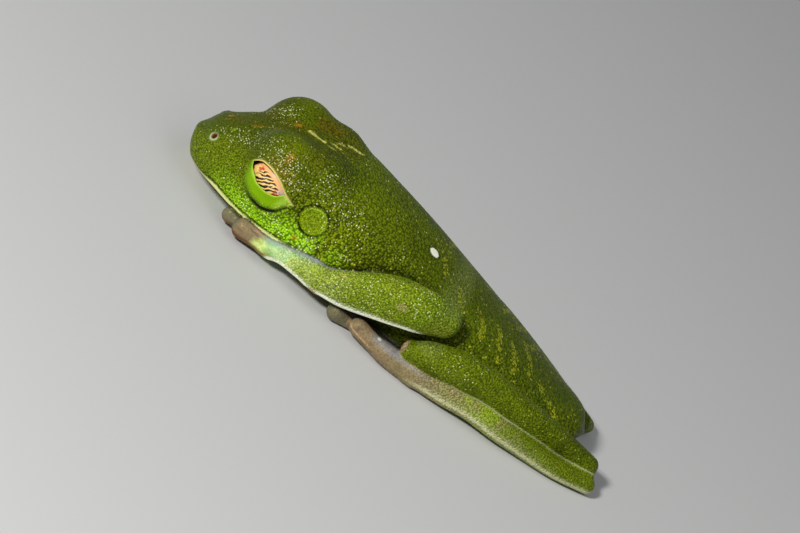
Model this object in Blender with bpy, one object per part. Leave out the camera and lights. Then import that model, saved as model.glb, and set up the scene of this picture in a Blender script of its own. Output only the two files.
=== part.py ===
"""Red-eyed tree frog asleep on its belly, limbs folded against its sides, as a life-size still model.

Lengths are millimetres, turned into metres where a mesh is made. A place is (x, s, z): x is the
frog's left, s the distance behind the tip of its snout, z the height over the floor. The frog
faces -Y, and the origin lies on the floor under the middle of its bounding box.
"""
import math

import bmesh
import bpy
import numpy as np
from mathutils import Matrix, Vector

MM = 0.001
GAP = 0.3
MIDDLE = 29.48
NECK = 19.6

# Body: half width, heights of the back, of the widest line and of the belly, each at s
HALF_WIDTH = [(0.3, 0.0), (0.5, 1.2), (0.9, 2.1), (1.6, 3.3), (3.0, 4.7), (5.0, 5.95), (8.0, 7.35),
              (11.0, 8.1), (14.0, 8.6), (17.0, 9.0), (22.0, 8.9), (27.0, 8.8), (32.0, 8.7), (38.0, 8.1),
              (44.0, 6.9), (50.0, 5.2), (53.5, 3.5), (55.2, 0.0)]
BACK = [(0.3, 4.0), (0.5, 4.4), (0.9, 4.95), (1.6, 6.15), (3.0, 7.35), (5.0, 8.9), (8.0, 10.5), (11.0, 11.7),
        (14.0, 12.4), (18.0, 12.6), (22.0, 12.1), (28.0, 11.0), (34.0, 9.45), (40.0, 7.9), (46.0, 6.4),
        (50.0, 5.4), (53.5, 4.7), (55.2, 2.9)]
WIDEST = [(0.3, 4.0), (0.9, 3.3), (1.6, 2.8), (5.0, 2.5), (9.0, 2.55), (13.0, 2.95), (17.0, 3.8), (30.0, 3.6),
          (44.0, 3.2), (55.2, 2.9)]
BELLY = [(0.3, 4.0), (0.5, 3.2), (0.9, 2.2), (1.6, 1.4), (2.6, 1.0), (5.0, 0.6), (10.0, 0.5), (15.0, 0.5),
         (19.0, -0.2), (46.0, -0.2), (50.0, 0.5), (53.5, 1.6), (55.2, 2.9)]
BACK_ROUNDNESS = [(0.3, 2.0), (3.0, 2.4), (10.0, 2.5), (15.0, 2.6), (20.0, 2.3), (30.0, 2.1), (40.0, 2.2),
                  (55.0, 2.2)]
BELLY_ROUNDNESS = [(0.3, 2.0), (1.6, 1.7), (5.0, 1.35), (10.0, 1.5), (18.0, 2.3), (55.0, 2.2)]
HEAD_RINGS = 24
HEAD_RING_CROWDING = 0.35
TORSO_RINGS = 13
SECTION_SIDES = 32

# Eye: ball, its socket and the lids over it; the slit between the lids runs from front to rear corner
EYE_CENTRE = (5.2, 10.5, 7.5)
EYE_RADIUS = 3.2
LID_THICKNESS = 0.6
LID_RADIUS = EYE_RADIUS + GAP + LID_THICKNESS
LID_SINK = 0.25
BALL_SEGMENTS = 20
LID_SEGMENTS = 24
SLIT_FRONT = (6.66, 6.72, 8.12)
SLIT_REAR = (8.77, 12.5, 7.68)
SLIT_FACING = (0.885, -0.158, 0.438)
SLIT_RISE = 0.85
SLIT_DROP = 1.3
SLIT_STEPS = 10
SLIT_INNER_END = -1.0
SLIT_OUTER_END = 3.0

# Balls that the head swells over on each side: the lids, the brow above them and the temple behind them
BROW_CENTRE = (4.4, 9.9, 8.45)
BROW_RADIUS = 3.95
TEMPLE_CENTRE = (4.0, 14.2, 9.0)
TEMPLE_RADIUS = 3.6
SWELLINGS = [(EYE_CENTRE, LID_RADIUS - LID_SINK), (BROW_CENTRE, BROW_RADIUS), (TEMPLE_CENTRE, TEMPLE_RADIUS)]
SWELLING_BLEND = 0.5

# Ear disc, nostrils and mouth, each placed on the body's own surface
EAR_PLACE = 15.6
EAR_TURN = 70.0
EAR_RADIUS = 1.6
EAR_THICKNESS = 0.55
EAR_RISE = 0.15
EAR_SEAT_REACH = 1.5
NOSTRIL_PLACE = 2.3
NOSTRIL_TURN = 46.0
NOSTRIL_MOUTH_RADIUS = 0.5
NOSTRIL_FLOOR_RADIUS = 0.15
NOSTRIL_DEPTH = 0.9
NOSTRIL_REACH = 0.4
DISC_SEGMENTS = 24
NOSTRIL_SEGMENTS = 12
MOUTH_FRONT = 1.55
MOUTH_CORNER = 17.2
MOUTH_SIDE = 5.5
MOUTH_GROOVE = 0.24
MOUTH_STEPS = 18
MOUTH_STEP_POWER = 1.6
MOUTH_TURN_POWER = 0.5
MOUTH_SPACING = 0.7
MOUTH_TUBE_SIDES = 6

# Limbs: stations of x, s, z, half width and half height, on the left side
UPPER_ARM = [(6.9, 22.5, 4.2, 1.7, 1.8), (7.5, 26.0, 5.9, 1.9, 2.0), (8.1, 30.0, 7.2, 1.8, 1.9),
             (8.4, 32.6, 7.8, 1.6, 1.7)]
FOREARM = [(9.7, 20.4, 3.3, 1.2, 1.5), (10.0, 23.0, 4.45, 1.5, 2.05), (10.0, 27.0, 6.5, 1.75, 2.6),
           (9.6, 31.0, 7.7, 1.8, 2.5), (9.1, 33.4, 8.0, 1.5, 1.9)]
PALM = [(9.6, 19.0, 3.15, 1.1, 1.35), (9.4, 16.6, 2.95, 1.05, 1.1), (9.2, 15.2, 2.65, 1.0, 0.95),
        (8.8, 13.4, 1.85, 1.0, 1.0)]
THIGH = [(3.0, 51.0, 2.4, 1.6, 1.6), (4.8, 46.5, 2.3, 2.2, 1.9), (6.6, 41.0, 2.4, 2.4, 2.0),
         (8.1, 36.5, 2.5, 1.9, 1.8), (9.1, 33.6, 2.7, 1.3, 1.3)]
SHANK = [(10.3, 32.5, 3.3, 1.1, 1.15), (10.3, 34.6, 4.1, 1.55, 1.75), (10.0, 38.5, 5.05, 1.75, 2.0),
         (9.2, 41.5, 5.0, 1.7, 1.9), (8.4, 45.0, 4.45, 1.6, 1.8), (6.8, 49.8, 3.75, 1.45, 1.55),
         (5.4, 54.0, 2.95, 1.25, 1.3), (4.6, 56.8, 2.45, 1.1, 1.1)]
SOLE = [(6.0, 57.6, 1.1, 1.15, 1.05), (7.5, 53.6, 1.15, 1.3, 1.15), (8.6, 49.0, 1.5, 1.35, 1.35),
        (9.55, 45.3, 1.85, 1.3, 1.45), (10.0, 41.7, 2.1, 1.3, 1.5), (10.4, 38.0, 1.85, 1.35, 1.55),
        (10.6, 34.0, 1.45, 1.35, 1.35)]
FINGERS = [
    [(8.7, 14.0, 1.9, 0.9, 0.9), (8.5, 12.0, 1.75, 0.95, 1.05), (8.3, 10.3, 1.6, 1.0, 1.2)],
    [(8.0, 14.0, 1.6, 0.7, 0.7), (7.5, 10.8, 1.35, 0.55, 0.6), (7.0, 8.55, 1.4, 0.9, 0.95)],
    [(8.0, 15.6, 1.9, 0.7, 0.7), (6.2, 13.5, 0.6, 0.5, 0.5), (5.0, 11.6, 0.4, 0.8, 0.5)],
    [(8.2, 17.2, 2.2, 0.7, 0.7), (6.2, 16.6, 0.8, 0.5, 0.5), (4.7, 15.6, 0.4, 0.75, 0.5)],
]
TOES = [
    [(10.8, 34.5, 1.35, 1.15, 1.25), (10.7, 31.0, 1.25, 1.15, 1.2), (10.45, 28.6, 1.35, 0.95, 1.0),
     (10.1, 26.5, 1.6, 1.0, 1.0)],
    [(9.8, 34.5, 1.0, 0.7, 0.8), (9.2, 29.0, 0.75, 0.5, 0.55), (9.2, 26.4, 0.8, 0.5, 0.55),
     (9.3, 23.8, 1.05, 1.2, 1.05)],
    [(9.6, 36.0, 1.0, 0.6, 0.7), (8.8, 31.5, 0.6, 0.5, 0.5), (8.2, 28.6, 0.4, 0.85, 0.5)],
    [(9.6, 38.5, 1.0, 0.6, 0.7), (8.1, 34.5, 0.6, 0.5, 0.5), (7.2, 32.2, 0.4, 0.8, 0.5)],
    [(9.6, 41.5, 1.0, 0.6, 0.7), (7.8, 38.8, 0.6, 0.5, 0.5), (6.7, 37.0, 0.4, 0.75, 0.5)],
]
LIMB_ROUNDNESS = 2.2
LIMB_SIDES = 12
DIGIT_SIDES = 8
LEAST_RINGS = 4
END_STEPS = 2

# Distance between a loft's rings along each kind of limb piece
RING_SPACING = {"upper_arm": 2.0, "forearm": 1.6, "palm": 1.2, "finger": 1.2, "thigh": 2.8, "shank": 2.2,
                "sole": 2.2, "toe": 1.5}

# The right limbs lie lower and a little further forward than the left ones
RIGHT_LEG_SHIFT = -1.6
RIGHT_LEG_HEIGHT = 0.62
RIGHT_ARM_SHIFT = -0.5
RIGHT_ARM_HEIGHT = 0.55

COLOURS = {
    "back": (0.10, 0.14, 0.01),
    "side": (0.16, 0.27, 0.03),
    "limb": (0.20, 0.30, 0.06),
    "digit": (0.30, 0.26, 0.22),
    "ear": (0.22, 0.32, 0.03),
    "eye": (0.55, 0.25, 0.10),
}
SKIN_ROUGHNESS = 0.45
EYE_ROUGHNESS = 0.15
SHARP_ANGLE = 50.0

# Steps along and around the body over which the direction of its surface is measured
PLACE_STEP = 0.2
TURN_STEP = 1.0


def profile(knots, at):
    """Values at the places asked for, on a smooth curve through the knots that never overshoots them."""
    places, values = np.array(knots, float).T
    at = np.clip(np.asarray(at, float), places[0], places[-1])
    steps = np.diff(places)
    slopes = np.diff(values) / steps
    tangents = np.concatenate([slopes[:1], np.zeros(len(places) - 2), slopes[-1:]])
    for i in range(1, len(places) - 1):
        if slopes[i - 1] * slopes[i] > 0:
            before = 2 * steps[i] + steps[i - 1]
            after = steps[i] + 2 * steps[i - 1]
            tangents[i] = (before + after) / (before / slopes[i - 1] + after / slopes[i])
    i = np.clip(np.searchsorted(places, at, side="right") - 1, 0, len(steps) - 1)
    t = (at - places[i]) / steps[i]
    start = (1 + 2 * t) * (1 - t) ** 2 * values[i] + t * (1 - t) ** 2 * steps[i] * tangents[i]
    end = t * t * (3 - 2 * t) * values[i + 1] + t * t * (t - 1) * steps[i] * tangents[i + 1]
    return start + end


def unit(vector):
    """The vector at length one."""
    return np.asarray(vector, float) / np.linalg.norm(vector)


def section(turn, across, up, down, roundness_up, roundness_down):
    """Sideways and upward offsets of a rounded section; turn 0 is its top, 90 degrees its left side."""
    angle = np.radians(turn)
    side, lift = np.sin(angle), np.cos(angle)
    power = 2 / np.where(lift > 0, roundness_up, roundness_down)
    sideways = across * np.sign(side) * np.abs(side) ** power
    upward = np.where(lift > 0, up, down) * np.sign(lift) * np.abs(lift) ** power
    return sideways, upward


def swell(points, centre, radius):
    """Pushes points out from a centre so that they clear a ball, with a soft edge."""
    offset = points - np.asarray(centre, float)
    distance = np.linalg.norm(offset, axis=-1, keepdims=True)
    wanted = radius + SWELLING_BLEND * np.logaddexp(0.0, (distance - radius) / SWELLING_BLEND)
    return centre + offset / distance * wanted


def body_point(s, turn):
    """Places on the bare head and body, s behind the snout and turned from the midline of the back."""
    s, turn = np.broadcast_arrays(np.asarray(s, float), np.asarray(turn, float))
    middle = profile(WIDEST, s)
    up = profile(BACK, s) - middle
    down = middle - profile(BELLY, s)
    x, z = section(turn, profile(HALF_WIDTH, s), up, down, profile(BACK_ROUNDNESS, s),
                   profile(BELLY_ROUNDNESS, s))
    points = np.stack([x, s, middle + z], -1)
    for side in (1, -1):
        for centre, radius in SWELLINGS:
            points = swell(points, np.array(centre) * (side, 1, 1), radius)
    return points


def body_normal(s, turn):
    """The direction that the body's surface faces at a place on it."""
    along = body_point(s + PLACE_STEP, turn) - body_point(s - PLACE_STEP, turn)
    round_it = body_point(s, turn + TURN_STEP) - body_point(s, turn - TURN_STEP)
    normal = unit(np.cross(round_it, along))
    outward = body_point(s, turn) - np.array([0.0, s, profile(WIDEST, s)])
    return normal if np.dot(normal, outward) > 0 else -normal


def limb_rings(stations, spacing, sides, grow=0.0):
    """Rings along a limb with round ends, and the two points that close it."""
    stations = np.array(stations, float)
    steps = np.linalg.norm(np.diff(stations[:, :3], axis=0), axis=1)
    along = np.concatenate([[0.0], np.cumsum(steps)])
    count = max(LEAST_RINGS, int(along[-1] / spacing) + 1)
    at = np.linspace(0, along[-1], count)
    values = np.stack([profile(np.stack([along, column], 1), at) for column in stations.T], 1)
    centre, sizes = values[:, :3], values[:, 3:] + grow
    tangent = np.gradient(centre, axis=0)
    tangent /= np.linalg.norm(tangent, axis=1, keepdims=True)
    ends = []
    for index, sign in ((0, -1), (-1, 1)):
        reach = sizes[index].mean()
        steps = np.sin(np.radians(90 * np.arange(1, END_STEPS + 1) / (END_STEPS + 1)))
        shrink = np.sqrt(1 - steps ** 2)
        ends.append((centre[index] + sign * reach * steps[:, None] * tangent[index],
                     sizes[index] * shrink[:, None], np.repeat(tangent[index][None], END_STEPS, 0),
                     centre[index] + sign * reach * tangent[index]))
    first, last = ends
    centre = np.concatenate([first[0][::-1], centre, last[0]])
    sizes = np.concatenate([first[1][::-1], sizes, last[1]])
    tangent = np.concatenate([first[2][::-1], tangent, last[2]])
    side = np.cross(tangent, (0.0, 0.0, 1.0))
    side /= np.linalg.norm(side, axis=1, keepdims=True)
    lift = np.cross(side, tangent)
    turn = np.arange(sides) * 360 / sides
    across, upward = section(turn[None], sizes[:, :1], sizes[:, 1:], sizes[:, 1:], LIMB_ROUNDNESS,
                             LIMB_ROUNDNESS)
    rings = centre[:, None] + across[..., None] * side[:, None] + upward[..., None] * lift[:, None]
    return rings, first[3], last[3]


def to_metres(point):
    """A place in millimetres as a Blender coordinate."""
    return (point[0] * MM, (point[1] - MIDDLE) * MM, point[2] * MM)


def skin_rings(rings, start, end):
    """A closed mesh through rings of points, closed by a fan of faces at each end."""
    bm = bmesh.new()
    rows = [[bm.verts.new(to_metres(p)) for p in ring] for ring in rings]
    count = len(rows[0])
    for row, after in zip(rows, rows[1:]):
        for i in range(count):
            j = (i + 1) % count
            bm.faces.new((row[i], row[j], after[j], after[i]))
    for row, tip in ((rows[0], start), (rows[-1], end)):
        point = bm.verts.new(to_metres(tip))
        for i in range(count):
            bm.faces.new((row[i], row[(i + 1) % count], point))
    bmesh.ops.recalc_face_normals(bm, faces=bm.faces)
    mesh = bpy.data.meshes.new("form")
    bm.to_mesh(mesh)
    bm.free()
    return mesh


def body_mesh(places, tip=None):
    """Head or torso: a loft of body sections at the places given, flat on the floor where it rests."""
    turns = np.arange(SECTION_SIDES) * 360 / SECTION_SIDES
    rings = body_point(places[:, None], turns[None])
    rings[..., 2] = np.maximum(rings[..., 2], 0.0)
    start = rings[0].mean(0) if tip != "start" else body_point(HALF_WIDTH[0][0], 0.0)
    end = rings[-1].mean(0) if tip != "end" else body_point(HALF_WIDTH[-1][0], 0.0)
    return skin_rings(rings, start, end)


def limb_mesh(stations, spacing, sides, grow=0.0, rests=True):
    """One limb or digit as a closed mesh; one that rests has its underside flat on the floor."""
    rings, start, end = limb_rings(stations, spacing, sides, grow)
    if rests:
        rings[..., 2] = np.maximum(rings[..., 2], 0.0)
    return skin_rings(rings, start, end)


def mirrored(stations, shift, lowering):
    """The same limb on the right side, moved along the body, with its underside that much lower."""
    moved = []
    for x, s, z, half_width, half_height in stations:
        height = half_height * (1 + lowering) / 2
        moved.append((-x, s + shift, (z - half_height) * lowering + height, half_width, height))
    return moved


def add_object(name, mesh, collection):
    """An object for a mesh, in a collection."""
    item = bpy.data.objects.new(name, mesh)
    collection.objects.link(item)
    return item


def applied(item):
    """Replaces an object's mesh by its evaluated one, with its modifiers done."""
    bpy.context.view_layer.update()
    graph = bpy.context.evaluated_depsgraph_get()
    mesh = bpy.data.meshes.new_from_object(item.evaluated_get(graph))
    item.modifiers.clear()
    item.data = mesh


def keep_largest(item):
    """Keeps only the largest closed surface of an object's mesh."""
    bm = bmesh.new()
    bm.from_mesh(item.data)
    left = set(bm.verts)
    groups = []
    while left:
        group, edge = set(), [left.pop()]
        while edge:
            vert = edge.pop()
            group.add(vert)
            for link in vert.link_edges:
                other = link.other_vert(vert)
                if other in left:
                    left.remove(other)
                    edge.append(other)
        groups.append(group)
    groups.sort(key=len)
    for group in groups[:-1]:
        bmesh.ops.delete(bm, geom=list(group), context="VERTS")
    bm.to_mesh(item.data)
    bm.free()


def combine(item, meshes, operation):
    """Joins closed meshes to an object, or cuts them from it, with one Boolean."""
    tools = bpy.data.collections.new("cutters")
    bpy.context.scene.collection.children.link(tools)
    for number, mesh in enumerate(meshes):
        tool = add_object(f"cutter_{number}", mesh, tools)
        tool.display_type = "WIRE"
        tool.hide_render = True
    boolean = item.modifiers.new("combine", "BOOLEAN")
    boolean.operation = operation
    boolean.operand_type = "COLLECTION"
    boolean.collection = tools
    boolean.solver = "EXACT"
    applied(item)
    for tool in list(tools.objects):
        bpy.data.objects.remove(tool)
    bpy.data.collections.remove(tools)
    keep_largest(item)


def eye_frame(side):
    """Centre of the slit between the lids and its outward, forward and upward directions."""
    flip = np.array([side, 1.0, 1.0])
    front, rear = SLIT_FRONT * flip, SLIT_REAR * flip
    along = unit(rear - front)
    outward = SLIT_FACING * flip
    outward = unit(outward - np.dot(outward, along) * along)
    upward = unit(np.cross(outward, along)) * side
    return (front + rear) / 2, outward, along, upward


def slit_mesh(side):
    """Cutter for the slit between the lids: an almond, drawn out through the lids."""
    middle, outward, along, upward = eye_frame(side)
    half = np.linalg.norm(np.subtract(SLIT_REAR, SLIT_FRONT)) / 2
    t = np.linspace(-1, 1, SLIT_STEPS)
    upper = [(half * a, SLIT_RISE * (1 - a * a)) for a in t]
    lower = [(half * a, -SLIT_DROP * (1 - a * a)) for a in t[::-1][1:-1]]
    outline = np.array(upper + lower)
    rings = []
    for depth in (SLIT_INNER_END, SLIT_OUTER_END):
        rings.append(middle + depth * outward + outline[:, :1] * along + outline[:, 1:] * upward)
    rings = np.array(rings)
    return skin_rings(rings, rings[0].mean(0), rings[1].mean(0))


def ball_mesh(centre, radius, segments):
    """A ball."""
    bm = bmesh.new()
    bmesh.ops.create_uvsphere(bm, u_segments=segments, v_segments=segments // 2, radius=radius * MM)
    bmesh.ops.translate(bm, verts=bm.verts, vec=to_metres(centre))
    mesh = bpy.data.meshes.new("ball")
    bm.to_mesh(mesh)
    bm.free()
    return mesh


def disc_mesh(centre, axis, inner, outer, segments=DISC_SEGMENTS):
    """A disc or cone along an axis; its inner and outer ends are given as radius and distance out."""
    inner_radius, inner_end = inner
    outer_radius, outer_end = outer
    bm = bmesh.new()
    bmesh.ops.create_cone(bm, cap_ends=True, segments=segments, radius1=inner_radius * MM,
                          radius2=outer_radius * MM, depth=(outer_end - inner_end) * MM)
    turn = Vector(axis).to_track_quat("Z", "Y").to_matrix().to_4x4()
    middle = Vector(to_metres(np.asarray(centre) + (inner_end + outer_end) / 2 * np.asarray(axis)))
    bmesh.ops.transform(bm, matrix=Matrix.Translation(middle) @ turn, verts=bm.verts)
    mesh = bpy.data.meshes.new("disc")
    bm.to_mesh(mesh)
    bm.free()
    return mesh


def mouth_mesh():
    """Cutter for the line of the mouth: a thin tube along the lips, from corner to corner."""
    steps = np.linspace(0, 1, MOUTH_STEPS) ** MOUTH_STEP_POWER
    places = MOUTH_FRONT + (MOUTH_CORNER - MOUTH_FRONT) * steps
    share = np.clip((places - MOUTH_FRONT) / (MOUTH_SIDE - MOUTH_FRONT), 0, 1)
    turns = 180 - 90 * share ** MOUTH_TURN_POWER
    left = body_point(places, turns)
    right = left[::-1] * (-1, 1, 1)
    path = np.concatenate([right, left[1:]])
    stations = [(*point, MOUTH_GROOVE, MOUTH_GROOVE) for point in path]
    rings, start, end = limb_rings(stations, MOUTH_SPACING, MOUTH_TUBE_SIDES)
    return skin_rings(rings, start, end)


def finish(item, colour, roughness):
    """Smooth shading and the part's own material."""
    material = bpy.data.materials.new(item.name)
    material.use_nodes = True
    surface = material.node_tree.nodes["Principled BSDF"]
    surface.inputs["Base Color"].default_value = (*COLOURS[colour], 1.0)
    surface.inputs["Roughness"].default_value = roughness
    item.data.materials.clear()
    item.data.materials.append(material)
    item.data.shade_smooth()
    item.data.set_sharp_from_angle(angle=math.radians(SHARP_ANGLE))


def grown(pieces):
    """The pieces' meshes, one gap larger all round, to cut their neighbours with."""
    return [limb_mesh(stations, spacing, sides, GAP, False) for stations, spacing, sides in pieces]


def limb_pieces(side):
    """The lofts of each limb's nodes on one side, as stations, spacing and sides."""
    if side > 0:
        arm = leg = list
    else:
        def arm(rows):
            return mirrored(rows, RIGHT_ARM_SHIFT, RIGHT_ARM_HEIGHT)

        def leg(rows):
            return mirrored(rows, RIGHT_LEG_SHIFT, RIGHT_LEG_HEIGHT)

    def loft(kind, rows):
        return rows, RING_SPACING[kind], DIGIT_SIDES if kind in ("finger", "toe") else LIMB_SIDES

    return {
        "upper_arm": [loft("upper_arm", arm(UPPER_ARM))],
        "forearm": [loft("forearm", arm(FOREARM))],
        "hand": [loft("palm", arm(PALM))] + [loft("finger", arm(rows)) for rows in FINGERS],
        "thigh": [loft("thigh", leg(THIGH))],
        "shank": [loft("shank", leg(SHANK))],
        "foot": [loft("sole", leg(SOLE))] + [loft("toe", leg(rows)) for rows in TOES],
    }


CUT_BY = {
    "upper_arm": ["forearm"],
    "forearm": ["hand"],
    "hand": [],
    "thigh": ["shank", "foot", "forearm"],
    "shank": ["forearm", "upper_arm"],
    "foot": ["shank", "forearm"],
}
LIMB_COLOURS = {"upper_arm": "limb", "forearm": "limb", "hand": "digit", "thigh": "side", "shank": "limb",
                "foot": "digit"}


def build_limbs(side, word, model):
    """The six nodes of one side's limbs; returns the cutters that clear the head and torso of them."""
    pieces = limb_pieces(side)
    for name, lofts in pieces.items():
        first, *others = [limb_mesh(*loft) for loft in lofts]
        item = add_object(f"{name}_{word}", first, model)
        if others:
            combine(item, others, "UNION")
        for neighbour in CUT_BY[name]:
            combine(item, grown(pieces[neighbour]), "DIFFERENCE")
        finish(item, LIMB_COLOURS[name], SKIN_ROUGHNESS)
    return [loft for lofts in pieces.values() for loft in lofts]


def build_head(model, limb_lofts):
    """Head with lids, eye sockets, nostrils, the line of the mouth and seats for the ear discs."""
    steps = np.linspace(0, 1, HEAD_RINGS)
    steps = HEAD_RING_CROWDING * steps ** 3 + (1 - HEAD_RING_CROWDING) * steps
    places = HALF_WIDTH[0][0] + (NECK - GAP / 2 - HALF_WIDTH[0][0]) * steps
    head = add_object("head", body_mesh(places[1:], "start"), model)
    lids = [ball_mesh(np.array(EYE_CENTRE) * (side, 1, 1), LID_RADIUS, LID_SEGMENTS) for side in (1, -1)]
    combine(head, lids, "UNION")
    combine(head, grown(limb_lofts), "DIFFERENCE")
    cutters = [mouth_mesh()]
    for side, word in ((1, "left"), (-1, "right")):
        centre = np.array(EYE_CENTRE) * (side, 1, 1)
        cutters.append(ball_mesh(centre, EYE_RADIUS + GAP, BALL_SEGMENTS))
        cutters.append(slit_mesh(side))
        eye = add_object(f"eye_{word}", ball_mesh(centre, EYE_RADIUS, BALL_SEGMENTS), model)
        finish(eye, "eye", EYE_ROUGHNESS)
        ear_centre = body_point(EAR_PLACE, side * EAR_TURN)
        ear_axis = body_normal(EAR_PLACE, side * EAR_TURN)
        ear_floor = EAR_RISE - EAR_THICKNESS
        seat_radius = EAR_RADIUS + GAP
        cutters.append(disc_mesh(ear_centre, ear_axis, (seat_radius, ear_floor - GAP),
                                 (seat_radius, EAR_SEAT_REACH)))
        ear_disc = disc_mesh(ear_centre, ear_axis, (EAR_RADIUS, ear_floor), (EAR_RADIUS, EAR_RISE))
        finish(add_object(f"tympanum_{word}", ear_disc, model), "ear", SKIN_ROUGHNESS)
        nostril = body_point(NOSTRIL_PLACE, side * NOSTRIL_TURN)
        axis = body_normal(NOSTRIL_PLACE, side * NOSTRIL_TURN)
        cutters.append(disc_mesh(nostril, axis, (NOSTRIL_FLOOR_RADIUS, -NOSTRIL_DEPTH),
                                 (NOSTRIL_MOUTH_RADIUS, NOSTRIL_REACH), NOSTRIL_SEGMENTS))
    combine(head, cutters, "DIFFERENCE")
    finish(head, "back", SKIN_ROUGHNESS)


def build_torso(model, limb_lofts):
    """Trunk from the neck to the vent, hollowed where the folded limbs lie against it."""
    places = np.linspace(NECK + GAP / 2, HALF_WIDTH[-1][0], TORSO_RINGS + 1)[:-1]
    torso = add_object("torso", body_mesh(places, "end"), model)
    combine(torso, grown(limb_lofts), "DIFFERENCE")
    finish(torso, "back", SKIN_ROUGHNESS)


def main():
    """Clears the scene and builds every part of the frog."""
    for item in list(bpy.data.objects):
        bpy.data.objects.remove(item)
    model = bpy.data.collections.new("tree_frog")
    bpy.context.scene.collection.children.link(model)
    lofts = build_limbs(1, "left", model) + build_limbs(-1, "right", model)
    build_head(model, lofts)
    build_torso(model, lofts)


main()
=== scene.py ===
"""Red-eyed tree frog asleep on its belly: one skin over the whole animal, its eyes, and the studio.

Lengths are millimetres until a mesh is made. A place is (x, s, z): x is the frog's left, s the
distance behind the tip of its snout, z the height over the floor. The skin is grown from the same
named sizes as the solids: lofts are turned into distance fields, joined softly or with a crease,
carved, meshed once, and then sculpted and painted by formulas.
"""
import math

import bmesh
import bpy
import numpy as np
import openvdb as vdb
from mathutils import Matrix, Vector


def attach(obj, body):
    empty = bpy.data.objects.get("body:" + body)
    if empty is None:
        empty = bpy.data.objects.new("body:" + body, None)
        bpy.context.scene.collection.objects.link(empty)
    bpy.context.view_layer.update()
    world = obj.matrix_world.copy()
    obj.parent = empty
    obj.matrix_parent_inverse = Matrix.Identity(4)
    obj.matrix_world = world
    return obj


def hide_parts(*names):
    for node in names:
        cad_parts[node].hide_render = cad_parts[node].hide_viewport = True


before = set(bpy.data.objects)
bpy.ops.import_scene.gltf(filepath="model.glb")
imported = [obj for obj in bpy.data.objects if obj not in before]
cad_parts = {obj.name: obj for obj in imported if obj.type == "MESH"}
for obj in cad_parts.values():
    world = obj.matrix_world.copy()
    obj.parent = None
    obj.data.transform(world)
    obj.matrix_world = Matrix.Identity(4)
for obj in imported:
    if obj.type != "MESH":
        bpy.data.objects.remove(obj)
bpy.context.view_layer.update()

MM = 0.001
MIDDLE = 29.48
LOW = np.array([-13.6, -1.0, -1.0])
HIGH = np.array([13.6, 61.0, 14.4])
VOXEL = 0.085
BAND = 1.4
LINE_REACH = 3.0

# Body: half width, heights of the back, of the widest line and of the belly, each at s
HALF_WIDTH = [(0.3, 0.0), (0.5, 1.2), (0.9, 2.1), (1.6, 3.3), (3.0, 4.7), (5.0, 5.95), (8.0, 7.35),
              (11.0, 8.1), (14.0, 8.6), (17.0, 9.0), (22.0, 8.9), (27.0, 8.8), (32.0, 8.7), (38.0, 8.1),
              (44.0, 6.9), (50.0, 5.2), (53.5, 3.5), (55.2, 0.0)]
BACK = [(0.3, 4.0), (0.5, 4.4), (0.9, 4.95), (1.6, 6.15), (3.0, 7.35), (5.0, 8.9), (8.0, 10.5), (11.0, 11.7),
        (14.0, 12.4), (18.0, 12.6), (22.0, 12.1), (28.0, 11.0), (34.0, 9.45), (40.0, 7.9), (46.0, 6.4),
        (50.0, 5.4), (53.5, 4.7), (55.2, 2.9)]
WIDEST = [(0.3, 4.0), (0.9, 3.3), (1.6, 2.8), (5.0, 2.5), (9.0, 2.55), (13.0, 2.95), (17.0, 3.8), (30.0, 3.6),
          (44.0, 3.2), (55.2, 2.9)]
BELLY = [(0.3, 4.0), (0.5, 3.2), (0.9, 2.2), (1.6, 1.4), (2.6, 1.0), (5.0, 0.6), (10.0, 0.5), (15.0, 0.5),
         (19.0, -0.2), (46.0, -0.2), (50.0, 0.5), (53.5, 1.6), (55.2, 2.9)]
BACK_ROUNDNESS = [(0.3, 2.0), (3.0, 2.4), (10.0, 2.5), (15.0, 2.6), (20.0, 2.3), (30.0, 2.1), (40.0, 2.2),
                  (55.0, 2.2)]
BELLY_ROUNDNESS = [(0.3, 2.0), (1.6, 1.7), (5.0, 1.35), (10.0, 1.5), (18.0, 2.3), (55.0, 2.2)]
BODY_RINGS = 260
BODY_SIDES = 180

# Eye: lid ball, eyeball, and the slit between the lids, in a plane that faces slightly up and forward
EYE_CENTRE = np.array([5.2, 10.5, 7.5])
LID_RADIUS = 4.1
LID_SOFTNESS = 1.3
BALL_RADIUS = 3.74
SOCKET_RADIUS = 3.4
BROW_CENTRE = np.array([4.4, 9.9, 8.45])
BROW_RADIUS = 3.95
TEMPLE_CENTRE = np.array([4.0, 14.2, 9.0])
TEMPLE_RADIUS = 3.6
SLIT_OUTWARD = np.array([0.885, -0.158, 0.438])
SLIT_ALONG = np.array([0.234, 0.963, -0.126])
SLIT_CORNER = (-3.38, -0.85)
UPPER_MARGIN = [(0.0, 0.0), (0.31, 0.38), (0.8, 0.70), (1.39, 0.80), (2.0, 0.85), (2.8, 0.77), (3.56, 0.64),
                (4.37, 0.39), (5.17, 0.15), (6.13, 0.0)]
LOWER_MARGIN = [(0.0, 0.0), (0.45, -0.55), (1.43, -1.05), (2.13, -1.27), (2.78, -1.26), (3.52, -1.13),
                (4.0, -0.93), (4.42, -0.68), (4.72, -0.30), (4.95, 0.10), (6.13, -0.02)]
LID_CREASE = [(-0.10, -0.30), (0.28, -1.04), (0.82, -1.98), (1.66, -2.56), (2.76, -2.90), (3.95, -2.85),
              (5.02, -2.34), (5.76, -1.58), (6.12, -0.65), (6.2, -0.12)]
LID_MIDDLE = (3.2, -0.4)

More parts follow.
